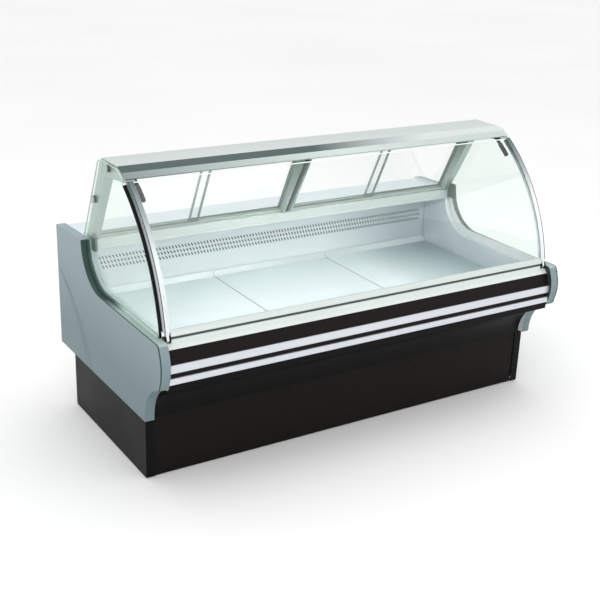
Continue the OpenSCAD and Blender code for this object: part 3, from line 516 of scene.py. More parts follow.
# One material for each slot of the record, and a few for details
M = {
    "black_rubber": surface("rubber", (16, 17, 17), 0.2, (0.6, 0.85), depth=0.08, grain=700,
        specular=0.15),
    "seal_grey": surface("seal_rubber", (104, 116, 112), 0.1, (0.6, 0.8), depth=0.06, grain=700,
        specular=0.2),
    "black_paint": surface("plinth_paint", (19, 17, 15), 0.16, (0.4, 0.55), grain=260, depth=0.05,
        specular=0.1, wear=(0.35, (64, 62, 58))),
    "corner_paint": surface("corner_paint", (10, 9, 9), 0.2, (0.36, 0.5), grain=260, depth=0.04,
        specular=0.1, wear=(0.35, (54, 53, 52))),
    "apron_paint": surface("apron_paint", (8, 7, 8), 0.2, (0.3, 0.42), grain=240, depth=0.03,
        specular=0.1, wear=(0.3, (54, 52, 52))),
    "black_plastic": surface("moulding", (21, 16, 16), 0.2, (0.42, 0.6), grain=900, depth=0.06,
        specular=0.12),
    "compressor_black": surface("cast_enamel", (22, 23, 25), 0.2, (0.3, 0.5), grain=180, depth=0.2),
    "coil_alu": surface("fin_stock", (188, 194, 198), 0.1, (0.35, 0.5), 0.9, grain=(300, 900, 60),
        depth=0.05),
    "copper": surface("copper_tube", (186, 112, 74), 0.22, (0.25, 0.5), 1.0, patch=9, grain=300),
    "stainless": surface("brushed_steel", (214, 222, 226), 0.07, (0.3, 0.46), 0.35,
        patch=(0.8, 5, 5), grain=(5, 420, 420), depth=0.012),
    # Deck steel: its fade darkens it towards the right end, a painted reflection of the darker
    # well.
    "deck_steel": surface("deck_steel", (236, 246, 249), 0.05, (0.36, 0.48), 0.15,
        patch=(1.2, 3, 3), grain=(380, 12, 380), depth=0.003,
        fade=("X", 0.42, 0.86, (160, 182, 186))),
    # Pan end faces: a darker grey, painted shade in the seams between the deck pans.
    "pan_edge": surface("pan_edge", (112, 126, 128), 0.1, (0.4, 0.55), 0.3, grain=(300, 12, 300),
        depth=0.004),
    # Air panel steel: its fade darkens it towards the right end, painted shade.
    "air_steel": surface("air_panel_steel", (244, 250, 252), 0.04, (0.36, 0.5), 0.1,
        patch=(0.8, 5, 5), grain=(5, 420, 420), depth=0.008,
        fade=("X", 0.3, 0.75, (205, 216, 221))),
    "stripe_alu": surface("satin_aluminium", (212, 216, 222), 0.06, (0.28, 0.42), 0.5,
        patch=(0.7, 20, 20), grain=(4, 600, 600), depth=0.01),
    "foot_alu": surface("foot_aluminium", (212, 221, 218), 0.07, (0.28, 0.42), 0.4,
        patch=(0.7, 20, 20), grain=(4, 600, 600), depth=0.01),
    "track_alu": surface("track_aluminium", (196, 208, 203), 0.08, (0.3, 0.45), 0.4,
        patch=(0.7, 12, 12), grain=(4, 500, 500), depth=0.01),
    "door_alu": surface("door_aluminium", (150, 164, 158), 0.1, (0.3, 0.45), 0.5, patch=(8, 3, 3),
        grain=(420, 8, 8), depth=0.01),
    "white_rail": surface("white_coat", (214, 222, 220), 0.05, (0.3, 0.42), grain=260, depth=0.03,
        wear=(0.3, (176, 182, 180))),
    # End panel moulding: its fade lightens it towards the top, painted light from above.
    "panel_grey": surface("panel_moulding", (108, 127, 131), 0.06, (0.42, 0.54), patch=2, grain=650,
        depth=0.07, specular=0.3, wear=(0.35, (160, 174, 178)),
        fade=("Z", 0.4, 0.76, (138, 155, 159))),
    # Hollow curve of the end panel: dark painted shade on the curve, fading to painted light
    # towards the front of the level sill.
    "sweep_painted_shading": surface("sweep_painted_shading", (52, 73, 69), 0.12, (0.34, 0.48), patch=5, grain=600,
        depth=0.04, specular=0.3, wear=(0.3, (96, 114, 110)),
        fade=("Y", 0.02, -0.12, (158, 178, 173))),
    # Side channel: dark painted shade on the hollow sweep, fading to painted light towards the
    # front of the sill.
    "channel_painted_shading": surface("channel_painted_shading", (52, 73, 69), 0.12, (0.34, 0.48), patch=5, grain=600,
        depth=0.03, specular=0.3, wear=(0.3, (84, 104, 98)),
        fade=("Y", -0.04, -0.16, (176, 196, 189))),
    # Inner faces of the end panel: light, turning to painted shade where they stand in front of the
    # case.
    "panel_side": surface("panel_side", (226, 232, 232), 0.05, (0.36, 0.5), grain=400, depth=0.03,
        fade=("Y", -0.42, -0.44, (44, 50, 52))),
    "inner_white": surface("inner_white", (226, 232, 232), 0.04, (0.36, 0.5), grain=260,
        depth=0.02),
    "canopy_alu": surface("canopy_satin", (190, 198, 196), 0.06, (0.32, 0.44), 0.3,
        patch=(0.7, 6, 6), grain=(4, 420, 420), depth=0.01),
    # Canopy rail: dark at the left end and lighter to the right, painted shade.
    "rail_alu": surface("canopy_rail", (116, 128, 127), 0.07, (0.3, 0.42), 0.4, patch=(0.9, 9, 9),
        grain=(4, 420, 420), depth=0.01, fade=("X", -1.0, 0.05, (196, 207, 203))),
    # Canopy fascia: dark at the left end and pale to the right, painted shade.
    "fascia_dark": surface("fascia_satin", (58, 77, 75), 0.14, (0.26, 0.38), 0.2, patch=(0.9, 9, 9),
        grain=(4, 420, 420), depth=0.01, specular=0.3, fade=("X", -0.08, 0.5, (206, 214, 213))),
    "bracket_alu": surface("bracket_satin", (168, 184, 178), 0.08, (0.3, 0.44), 0.4, patch=4,
        grain=(420, 60, 60), depth=0.012),
    # Middle post and inner bracket faces: the bracket tone with a fade that darkens towards the
    # top, painted shade under the canopy.
    "mid_alu": surface("mid_post_satin", (176, 190, 184), 0.08, (0.3, 0.44), 0.4, patch=4,
        grain=(420, 60, 60), depth=0.012, fade=("Z", 0.86, 1.09, (104, 126, 114))),
    # Dark strip for the floor of the middle post's channel: painted shade.
    "post_channel_painted_shade": surface("post_channel_painted_shade", (52, 66, 58), 0.15, (0.5, 0.7), grain=600, depth=0.04,
        specular=0.2),
    # Bright trim: its fade darkens it towards the top, painted shade.
    "bright_trim": surface("bright_trim", (226, 232, 233), 0.1, (0.2, 0.32), 0.3,
        patch=(60, 2.2, 2.2), grain=(600, 6, 6), depth=0.004,
        fade=("Z", 0.92, 1.16, (92, 110, 111))),
    "frame_line": surface("frame_line", (62, 76, 74), 0.15, (0.4, 0.6), grain=600, depth=0.03,
        specular=0.2),
    "glass_edge": surface("glass_edge", (184, 206, 196), 0.15, (0.08, 0.2), grain=60, patch=8,
        depth=0.02, specular=0.6),
    "edge_pale": surface("edge_pale", (222, 233, 228), 0.08, (0.1, 0.25), grain=60, patch=8,
        depth=0.02),
    "lamp_white": surface("lamp_glass", (240, 243, 242), 0.03, (0.12, 0.2), grain=120, depth=0.01,
        glow=15.0),
    "clasp": surface("clasp_moulding", (92, 110, 101), 0.14, (0.4, 0.55), grain=900, depth=0.05,
        specular=0.25),
    "holder": surface("holder_plastic", (226, 230, 228), 0.05, (0.35, 0.5)),
    "rotor_grey": surface("rotor_plastic", (96, 100, 102), 0.1, (0.4, 0.55)),
    "switch_green": surface("switch_plastic", (30, 132, 66), 0.12, (0.25, 0.4)),
    "display": surface("display_lens", (20, 8, 8), 0.2, (0.06, 0.12), depth=0.005, coat=0.4),
    "enamel": surface("lamp_enamel", (232, 236, 234), 0.04, (0.25, 0.38), grain=260, depth=0.03),
    "galvanised": galvanised("zinc", rgb(168, 174, 178)),
    "foam": foam_skin("foam", rgb(224, 214, 178)),
    "glass_green": pane("green_glass", (0.955, 0.99, 0.97, 1), rgb(196, 216, 206), 0.02),
    "glass_clear": pane("clear_glass", (0.99, 0.997, 0.994, 1), rgb(216, 226, 222), 0.01),
}


# ------------------------------------------------------------------ nodes kept from the CAD

KEPT = {
    "base_frame": "galvanised", "compressor": "compressor_black", "condenser_coil": "coil_alu",
    "condenser_shroud": "black_paint", "condenser_fan": "rotor_grey", "pipework": "copper",
    # The deck supports are dark grey so the gaps between the pans read as painted shade.
    "tub_insulation": "foam", "tub_liner": "stainless", "deck_supports": "rotor_grey",
    "evaporator_coil": "coil_alu", "evaporator_shroud": "galvanised",
    "evaporator_fan_1": "rotor_grey", "evaporator_fan_2": "rotor_grey",
}
for kept_node, kept_material in KEPT.items():
    kept_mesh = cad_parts[kept_node].data
    kept_mesh.materials.clear()
    kept_mesh.materials.append(M[kept_material])


# ------------------------------------------------------------------ base

def levelling_feet():
    """Rubber pads on threaded stems with a lock nut."""
    b = Build()
    r = 17
    reach = high("levelling_feet", "X") - r
    fronts = low("levelling_feet", "Y") + r, high("levelling_feet", "Y") - r
    for x in (-reach, 0, reach):
        for y in fronts:
            pad = [(0, r - 1), (1, r), (6, r), (8, r - 3), (10, 10), (12, 7)]
            b.turned((x, y, 0), "Z", pad, 0)
            thread = [(10 + 0.8 * i, 6 - 0.7 * (i % 2)) for i in range(20)]
            b.turned((x, y, 0), "Z", thread, 1, 24)
            b.turned((x, y, 0), "Z", [(18, 10), (18.8, 11), (25, 11), (26, 10)], 1, 6)
    b.piece("levelling_feet", "black_rubber", "black_rubber", "galvanised")


def plinth():
    """Black kick plate between two folded side sheets."""
    front, rear = span("plinth_sides", "Y")
    out, base = high("plinth_sides", "X"), low("plinth_sides", "Z")
    tube, wall, lip = out - 40, 2, 40
    b = Build()
    for side in SIDES:
        outline = [(out - lip, front), (out, front), (out, rear), (out - lip, rear),
                   (out - lip, rear - wall), (out - wall, rear - wall),
                   (out - wall, front + wall), (out - lip, front + wall)]
        b.loft(outline, lambda x, y, z, s=side: (s * x, y, z), (base, PLINTH_TOP))
    b.piece("plinth_sides", "black_paint", "corner_paint", bevel=0.8)
    face = low("kick_plate", "Y")
    b = Build()
    b.block((-tube, face, base), (tube, face + wall, PLINTH_TOP))
    for x in (-tube + 26, -tube / 3, tube / 3, tube - 26):
        for z in (base + 22, PLINTH_TOP - 22):
            b.screw((x, face, z), "Y", -1, 4, 1)
    b.piece("kick_plate", "black_paint", "black_paint", "corner_paint", bevel=0.5)


def rear_grille():
    """Louvred rear sheet with the gland for the supply cable."""
    out, rear = high("rear_grille", "X"), 403
    base = low("rear_grille", "Z")
    slot = [(v, u) for u, v in reversed(capsule(66, 4))]
    rows, first_z, pitch_z, split = 10, 65.5, 17, 510
    tiles = slotted(-out, split, base, PLINTH_TOP, (170, first_z), (160, pitch_z), 2, rows, slot)
    tiles += slotted(split, out, base, PLINTH_TOP, (530, first_z), (160, pitch_z), 2, rows, slot)
    b = Build()
    b.sheet(tiles, lambda x, z, depth: (x, rear - depth, z), 2)
    for x in (-out + 24, -out / 3, out / 3, out - 24):
        for z in (base + 20, PLINTH_TOP - 20):
            b.screw((x, rear, z), "Y", 1, 4.2, 1)
    gland = (-850, rear, 140)
    b.turned(gland, "Y", [(0, 14), (0.8, 15), (5, 15), (6, 14)], 2, 6)
    b.turned(gland, "Y", [(6, 5), (6, 12), (13, 12), (15.2, 10.6), (16, 8.5), (16, 5)], 2, 40, True)
    b.piece("rear_grille", "black_paint", "black_paint", "galvanised", "black_plastic", bevel=0.4)


# ------------------------------------------------------------------ tub and front

APRON_C = (-527, PLINTH_TOP)


def back_panel():
    """Rear sheet of the tub, with a row of screws round it."""
    face, top = high("back_panel", "Y"), high("back_panel", "Z")
    b = Build()
    b.block((-PANEL_IN, face - 2, PLINTH_TOP), (PANEL_IN, face, top))
    columns = 7
    for i in range(columns):
        x = (PANEL_IN - 24) * (2 * i / (columns - 1) - 1)
        for z in (PLINTH_TOP + 18, top - 18):
            b.screw((x, face, z), "Y", 1, 4.2, 1)
    b.piece("back_panel", "galvanised", "white_rail", "galvanised", bevel=0.5)


def front():
    """Curved apron, the two bumper strips, the black band behind them and the top rail."""
    b = Build()
    b.prism(arc(APRON_C, 180, 0, 83, 56) + [(-507, 473), (-504, 473)]
            + arc(APRON_C, 183, 83, 0, 56), -PANEL_IN, PANEL_IN)
    b.piece("front_apron", "black_paint", "apron_paint", bevel=0.6)
    b = Build()
    for z0, z1 in ((473, 498), (519, 552)):
        mid, tall = (z0 + z1) / 2, (z1 - z0) / 2
        dome = [(-509 - 4 * math.cos(t) ** 0.35, mid - tall * math.sin(t))
                for t in steps(-1.54, 1.54, 28)]
        b.prism([(-500, z0), (-500, z1)] + dome, -PANEL_IN, PANEL_IN)
    b.piece("bumper_rails", "stripe_alu", bevel=0.5)
    b = Build()
    b.prism([(-494, 473), (-494, 552), (-480, 606), (-489, 606), (-507, 552), (-500, 552),
             (-500, 519), (-505, 519), (-505, 498), (-500, 498), (-500, 473)],
            -PANEL_IN, PANEL_IN)
    b.piece("front_band", "black_plastic", bevel=0.8)
    b = Build()
    b.prism([(-489, 606), (-472, 624.5), (-468, RAIL_TOP), (-440, RAIL_TOP), (-440, 606)],
            -PANEL_IN, PANEL_IN)
    lip_x, lip_top = FRAME_IN - 2, high("front_top_rail", "Z")
    b.block((-lip_x, -473, RAIL_TOP - 4), (lip_x, -467, lip_top))
    b.piece("front_top_rail", "white_rail", bevel=1.5)


# ------------------------------------------------------------------ end panels

def panel_outline(inset):
    """Side view of an end panel, drawn in by inset all round."""
    n = inset
    return ([(PANEL_REAR - n, PANEL_TOP - PANEL_FALL - n), (PANEL_REAR - n, PLINTH_TOP + 3 + n)]
            + [p for p in arc((-555, 285), 180 + n, -6.4, 75, 40) if p[1] > PLINTH_TOP + 3 + n]
            + arc((-362, 544), 165 - n, 205.5, 154, 26)
            + arc((-486, SILL - 24), 24 - n, 175, 90, 14)
            + arc(SWEEP_C, SWEEP_R + n, -90, -1, 48)
            + [(SWEEP_C[0] + SWEEP_R + n, PANEL_TOP - n)])


def swoosh(t, shift):
    """Centre line of a shallow groove across the outside of an end panel."""
    a, b, c = (PANEL_REAR + 12, 646), (250, 520 - shift), (150 + shift, PLINTH_TOP - 12)
    return tuple((1 - t) ** 2 * p + 2 * t * (1 - t) * q + t * t * r for p, q, r in zip(a, b, c))


def end_panel(side, node):
    """Moulded end panel with three swept grooves, painted shade on its hollow curve that fades to
    painted light along the level sill, a dark line of painted shade round its rim and its nose,
    and painted shade on its inner faces in front of the case. The rim is rounded at the
    foot, the sill's front corner and the rear. It is sharp on the nose, the level sill and the
    hollow curve."""
    line = 6
    b = Build()
    b.loft(panel_outline(0), side_place(side), (PANEL_IN, HALF - line, HALF))
    rim = [e for e in b.bm.edges if all(abs(v.co.x) > (HALF - 1) * MM for v in e.verts)]
    bmesh.ops.bevel(b.bm, geom=rim, offset=4 * MM, segments=5, profile=0.5, affect="EDGES",
                    clamp_overlap=False)
    for shift in (0, 26, 52):
        path = [swoosh(t, shift) for t in steps(0, 1, 40)]

        def place(u, v, i, path=path):
            y, z = path[i]
            return side * (HALF + 1.8 + 4.2 * u), y + 0.55 * 4.2 * v, z - 0.83 * 4.2 * v
        blade = Build()
        blade.loft(arc((0, 0), 1, 0, 337.5, 15), place, range(len(path)))
        b.cut(blade)
    made = b.piece(node, "panel_grey", "panel_grey", "sweep_painted_shading", "frame_line", "panel_side")
    # Faces by place: inner faces take a tone that turns to painted shade in front of the case, the
    # outer rim on the sill and nose takes a dark line of painted shade, and the hollow curve and
    # level sill take painted shading that is dark on the curve and lightens along the sill.
    for face in made.data.polygons:
        x, y, z = (v / MM for v in face.center)
        bend = SWEEP_R - 1 < math.hypot(y - SWEEP_C[0], z - SWEEP_C[1]) < SWEEP_R + 7
        level = y < SWEEP_C[0] and z > SILL - 7
        across = abs(face.normal.x)
        inside = across > 0.95 and face.normal.x * x < 0
        outer_rim = across < 0.95 and abs(x) > HALF - line + 0.1
        if inside:
            face.material_index = 3
        elif outer_rim and (level or y < NOSE and z > PLINTH_TOP + 60):
            face.material_index = 2
        elif across < 0.95 and (bend and y > SWEEP_C[0] and z < SWEEP_C[1] - 1 or level):
            face.material_index = 1


# ------------------------------------------------------------------ rear top

def worktop():
    """Folded steel shelf behind the doors."""
    top, rear = high("worktop", "Z"), high("worktop", "Y")
    b = Build()
    b.tray((-PANEL_IN, 292, 780), (PANEL_IN, rear, top), 2, 3)
    b.piece("worktop", "stainless", bevel=0.5)


def track(base, grooves):
    """Outline of a two-groove door track between two heights on the door plane."""
    edge, mid = TRACK_HALF, 1
    marks = [-edge, 3 - edge, -mid, mid, edge - 3, edge]
    outline = [on_door(base, marks[0])]
    for k, n in enumerate(marks):
        deep = k % 2 == 1
        ends = (grooves[1], grooves[0]) if deep else (grooves[0], grooves[1])
        at_rim = k in (0, len(marks) - 1)
        outline += [on_door(h, n) for h in (grooves[1:] if at_rim else ends)]
    outline.append(on_door(base, marks[-1]))
    return outline


def rear_sill():
    """Folded sill with a rounded lip, and the lower track of each bay."""
    b = Build()
    b.prism([(238, 780), (292, 780), (292, SILL_TOP), (238, SILL_TOP)], -PANEL_IN, PANEL_IN)
    reach = WELL_X - 4
    b.turned((0, 241, 783), "X", rounded(-reach, reach, 6, 2), 0, 32)
    b.piece("rear_sill", "white_rail", bevel=2.0)
    b = Build()
    for side in SIDES:
        outline = [(284, SILL_TOP), (252, SILL_TOP)] + track(-3, (0, 10))
        b.prism(outline, MID_HALF, POST_X, 0, side)
    b.piece("door_track_lower", "white_rail", "track_alu", bevel=0.5)
    b = Build()
    for side in SIDES:
        b.prism(track(TRACK_LEN, (TRACK_LEN - 4, TRACK_LEN - 20)), MID_HALF, POST_X, 0, side)
    b.piece("door_track_upper", "stripe_alu", "track_alu", bevel=0.5)


# ------------------------------------------------------------------ posts and canopy

ARM_LOW = (-7, CANOPY_TOP - 64)
POST_FRONT_TOP = (66, CANOPY_TOP - 72)
POST_FRONT_LOW = (240, SILL_TOP)
POST_REAR_LOW = (286, SILL_TOP)
CANOPY_FRONT_IN = (-67.2, CANOPY_TOP - 4)
CANOPY_REAR_IN = [(83, CANOPY_TOP - 4), (112.7, CANOPY_TOP - 19.2)]
CLAMPS = ((13, CANOPY_TOP - 26), (164, 1020))


def posts():
    """The end brackets, the middle post with its channel, and the clamps of the side glass."""
    b = Build()
    outline = [(-142, CANOPY_TOP - 50), ARM_LOW, POST_FRONT_TOP, POST_FRONT_LOW, POST_REAR_LOW,
               CANOPY_REAR_IN[1], CANOPY_REAR_IN[0], CANOPY_FRONT_IN, (-68.4, CANOPY_TOP - 6.4),
               (-106.8, CANOPY_TOP - 21.6), (-138.2, CANOPY_TOP - 38.3)]
    for side in SIDES:
        b.prism(outline, POST_X, FRAME_OUT, 0, side)
    made = b.piece("end_brackets", "bracket_alu", "bracket_alu", "mid_alu", bevel=2.0)
    # The inward faces take the copy of the bracket tone with painted shade towards the top.
    paint(made, 1, lambda face: faces_inward(face, 0.7))
    b = Build()
    b.prism([(-20, CANOPY_TOP - 40), POST_FRONT_TOP, POST_FRONT_LOW, POST_REAR_LOW,
             CANOPY_REAR_IN[1], CANOPY_REAR_IN[0], (-20, CANOPY_TOP - 4)], -MID_HALF, MID_HALF)
    channel, channel_half, reach = 14, 12, 30
    blade = Build()
    (ty, tz), (ly, lz) = POST_FRONT_TOP, POST_FRONT_LOW
    blade.prism([(ty - reach, tz), (ty + channel, tz), (ly + channel, lz), (ly, lz - reach)],
                -channel_half, channel_half)
    b.cut(blade)
    # A dark strip on the channel floor: painted shade in the channel.
    strip = 9
    b.prism([(ty + channel - 1, tz - 1), (ty + channel + 1, tz - 1), (ly + channel + 1, lz + 1),
             (ly + channel - 1, lz + 1)], -strip, strip, 1)
    b.piece("mid_post", "bracket_alu", "mid_alu", "post_channel_painted_shade", bevel=1.2)
    b = Build()
    glass_in, glass_out = SIDE_IN, SIDE_OUT
    for side in SIDES:
        for y, z in CLAMPS:
            for x0, x1, r in ((FRAME_OUT, glass_in, 16), (glass_in, glass_out, 5.5),
                              (glass_out, glass_out + 6, 16)):
                ends = sorted((side * x0, side * x1))
                b.turned((0, y, z), "X", rounded(*ends, r, 1.5), int(x0 == glass_out), 40)
        play = 0.3
        b.prism([(190, 786), (238 - play, 786), (238 - play, SILL_TOP + play),
                 (POST_FRONT_LOW[0] - play, SILL_TOP + play), (220, SILL_TOP + 35),
                 (190, SILL_TOP + 35)], FRAME_OUT - 10, PANEL_IN - 0.5, 2, side)
    b.piece("post_clamps", "black_plastic", "black_plastic", "bracket_alu", "clasp", bevel=0.8)


def canopy():
    """The top sheet, the fascia that falls from it, dark with painted shade at its left end, and
    the rail along its front, which also carries painted shade at its left end.
    """
    h = CANOPY_TOP
    b = Build()
    b.prism([(-66, h), (84, h), (115, h - 16), CANOPY_REAR_IN[1], CANOPY_REAR_IN[0],
             CANOPY_FRONT_IN], -FRAME_OUT, FRAME_OUT)
    b.piece("canopy_top", "canopy_alu", bevel=1.2)
    b = Build()
    b.prism([(-66, h), CANOPY_FRONT_IN, (-68.4, h - 6.4), (-106.8, h - 20.5), (-109, h - 16)],
            -FRAME_OUT, FRAME_OUT)
    # The fascia's tone darkens to painted shade at its left end.
    b.piece("canopy_fascia", "fascia_dark", bevel=0.6)
    b = Build()
    b.prism([(-109, h - 16), (-106.8, h - 20.5), (-106.8, h - 21.6), (-138.2, h - 38.3),
             (-141, h - 33)], -FRAME_OUT, FRAME_OUT)
    b.piece("canopy_front_rail", "canopy_alu", "rail_alu", bevel=0.6)


def lamp():
    """Enamelled channel with two lamp holders and the tube with its metal caps."""
    lo, hi = BOXES["lamp_housing"]
    a, c = [v / MM for v in lo], [v / MM for v in hi]
    b = Build()
    b.tray(a, c, 1.5, 2)
    for x0, x1 in ((a[0] + 2, a[0] + 13), (c[0] - 13, c[0] - 2)):
        b.block((x0, a[1] + 3, a[2] + 2), (x1, c[1] - 3, c[2] - 3), 1)
    b.piece("lamp_housing", "lamp_white", "enamel", "holder", bevel=0.5)
    y, z = (a[1] + c[1]) / 2, CANOPY_TOP - 25
    x0, x1, cap = a[0] + 14, c[0] - 14, 22
    b = Build()
    b.turned((0, y, z), "X", rounded(x0 + cap, x1 - cap, 12.6, 0.5), 0, 40)
    b.turned((0, y, z), "X", rounded(x0, x0 + cap, 13, 1.5), 1, 40)
    b.turned((0, y, z), "X", rounded(x1 - cap, x1, 13, 1.5), 1, 40)
    b.piece("lamp_tube", "lamp_white", "lamp_white", "bright_trim")


# ------------------------------------------------------------------ glass

def bend_radius(face):
    """How far a face's middle is from the axis that the front glass is bent round."""
    return math.hypot(face.center.y / MM - GLASS_C[0], face.center.z / MM - GLASS_C[1])


def side_glass(side, node):
    """Flat side glass that follows the front glass, the canopy, the posts and the sweep."""
    seat, inset = 4, 26
    h = CANOPY_TOP
    foot = 180 - math.degrees(math.asin((SILL + seat - GLASS_C[1]) / (GLASS_R - inset)))
    outline = ([on_glass(a, inset) for a in steps(foot, SEAL_TOP, 56)]
               + [(-126, h - 31), (-84, h - 7), (90, h - 7), (108, h - 20),
                  (282, PANEL_TOP + seat)]
               + arc(SWEEP_C, SWEEP_R - seat, 0, -90, 40))
    b = Build()
    b.prism(outline, SIDE_IN, SIDE_OUT, 0, side)
    made = b.piece(node, "glass_green", "glass_green", "glass_edge", "black_rubber", bevel=0.7)
    paint(made, 1, lambda face: abs(face.normal.x) < 0.5)
    paint(made, 2, lambda face: abs(bend_radius(face) - GLASS_R + inset) < 1.5)


def side_channels():
    """The channels that hold the side glass, along the sill and round the hollow sweep."""
    rise, seat = 12, 4
    inner, outer = PANEL_IN, PANEL_IN + 18
    b = Build()
    section = [(inner, 0), (inner, rise), (SIDE_IN, rise), (SIDE_IN, seat), (SIDE_OUT, seat),
               (SIDE_OUT, rise), (outer, rise), (outer, 0)]
    path = [(NOSE - 1, SILL, -90)] + [(*p, -90 + 90 * i / 40)
                                  for i, p in enumerate(arc(SWEEP_C, SWEEP_R, -90, 0, 40))]
    for side in SIDES:
        def place(x, up, at, s=side):
            y, z, angle = at
            t = math.radians(angle)
            return s * x, y - up * math.cos(t), z - up * math.sin(t)
        b.loft(section, place, path)
    # The channel's outer faces take painted shading: dark on the sweep, light towards the front of
    # the sill.
    made = b.piece("side_channels", "bracket_alu", "channel_painted_shading", "inner_white", bevel=0.6)
    paint(made, 1, lambda face: faces_inward(face, 0.5)
          or abs(face.center.x) / MM < SIDE_IN + 0.5)


def glass_seals():
    """Rubber behind the front glass: up both sides and along the top rail."""
    b = Build()
    y, top = PIVOT[0], RAIL_TOP
    b.prism([(y + 2, top), (y + 20, top), (y + 20, top + 16), (y + 12, top + 21),
             (y + 2, top + 21)], 1 - FRAME_IN, FRAME_IN - 1, 1)
    near, far = FRAME_IN + 10, SIDE_IN - 0.15

    def section(x0):
        return [(x0, 20.6), (far, 20.6), (far, 31), (x0, 31)]
    for side in SIDES:
        b.glass_sweep(section(near), SEAL_TOP, SEAL_BEND, 60, side)
        b.glass_sweep(section(PANEL_IN + 0.5), SEAL_BEND, 171.2, 4, side)
    made = b.piece("glass_seals", "black_rubber", "black_rubber", "seal_grey", bevel=0.8)
    paint(made, 1, lambda face: faces_inward(face, 0.7))


def front_glass_unit():
    """The bent glass, its two bright end frames with hinge lugs, and the foot profile."""
    glass_in, glass_out = 3, 9
    reach = FRAME_IN + 10
    b = Build()
    b.glass_sweep([(-reach, glass_in), (reach, glass_in), (reach, glass_out),
                   (-reach, glass_out)], GLASS_TOP + 0.1, GLASS_FOOT, 96)
    made = b.piece("front_glass", "glass_clear", "glass_clear", "glass_edge", "edge_pale",
                   bevel=0.6, body="front_glass_unit")
    points = made.data.vertices
    paint(made, 1, lambda face: len({round(points[i].co.x, 5) for i in face.vertices}) == 1)
    max(made.data.polygons, key=lambda face: face.center.z).material_index = 2

    b = Build()
    f0, f1, deep = FRAME_IN, FRAME_OUT, 20
    section = [(f0, 0), (f0 + 7, 0), (f0 + 8.5, 1.4), (f0 + 10, 1.4), (f0 + 11.5, 0), (f1 - 4.5, 0),
               (f1, 0),
               (f1, deep), (f0, deep), (f0, glass_out), (reach, glass_out), (reach, glass_in),
               (f0, glass_in)]
    lug = [on_glass(GLASS_FOOT, 1), (PIVOT[0] - 11, PIVOT[1] + 4),
           (PIVOT[0] + 11, PIVOT[1] + 4), on_glass(GLASS_FOOT, deep - 1)]
    for side in SIDES:
        b.glass_sweep(section, GLASS_TOP, GLASS_FOOT, 72, side)
        b.prism(lug, f0 + 7.5, f1 - 6, 0, side)
        lug_ends = sorted((side * (f0 + 7.5), side * (f1 - 6)))
        b.turned((0, *PIVOT), "X", rounded(*lug_ends, 12, 0.8), 0, 40)
        pin_ends = sorted((side * (f0 + 1.5), side * (f1 + 1)))
        b.turned((0, *PIVOT), "X", rounded(*pin_ends, 4, 0.5), 1, 32)
    made = b.piece("glass_end_frames", "bright_trim", "bright_trim", "stripe_alu", "frame_line",
                   bevel=1.0, body="front_glass_unit")
    paint(made, 2, lambda face: abs(face.center.x) / MM > f1 - 4.6
          and bend_radius(face) > GLASS_R - 1.5)

    b = Build()
    b.prism([on_glass(a, -1) for a in steps(PROFILE_FOOT, 169, 4)]
            + [on_glass(169, glass_in), on_glass(GLASS_FOOT, glass_in),
               on_glass(GLASS_FOOT, glass_out), on_glass(169, glass_out)]
            + [on_glass(a, 14) for a in steps(169, PROFILE_FOOT, 4)], -FRAME_IN, FRAME_IN)
    b.piece("glass_foot_profile", "stripe_alu", "foot_alu", bevel=0.7, body="front_glass_unit")


def hinges_and_catches():
    """Bored hinge cheeks on the top rail and the stops under the canopy."""
    y, z = PIVOT
    inner, outer = FRAME_IN + 0.5, FRAME_OUT + 2
    bore = 4.05
    b = Build()
    blade = Build()
    for side in SIDES:
        for x0, x1 in ((inner, inner + 6.5), (outer - 7.5, outer)):
            ends = sorted((side * x0, side * x1))
            head = [(y + 13 * math.cos(t), z + 13 * math.sin(t)) for t in steps(-0.25, 3.5, 24)]
            b.prism([(y + 22, RAIL_TOP + 3), (y + 13, z - 5)] + head
                    + [(y - 12.4, z - 6), (y - 6, RAIL_TOP)] + [(y + 22, RAIL_TOP)], *ends)
            blade.turned((0, y, z), "X", [(ends[0] - 1, bore), (ends[1] + 1, bore)], 0, 32)
        near, far = sorted((side * (inner + 6.5), side * (outer - 7.5)))
        b.block((near, y, RAIL_TOP), (far, y + 22, RAIL_TOP + 3))
    b.cut(blade)
    b.piece("hinge_blocks", "black_plastic", bevel=0.6)
    b = Build()
    for side in SIDES:
        b.glass_sweep([(POST_X - 14, 24), (POST_X, 24), (POST_X, 32), (POST_X - 14, 32)],
                      121.4, 126.5, 6, side)
        b.glass_sweep([(POST_X - 14, 21), (POST_X, 21), (POST_X, 36), (POST_X - 14, 36)],
                      126.5, 131.6, 6, side)
    b.piece("top_catches", "black_rubber", bevel=0.8)


# ------------------------------------------------------------------ rear doors

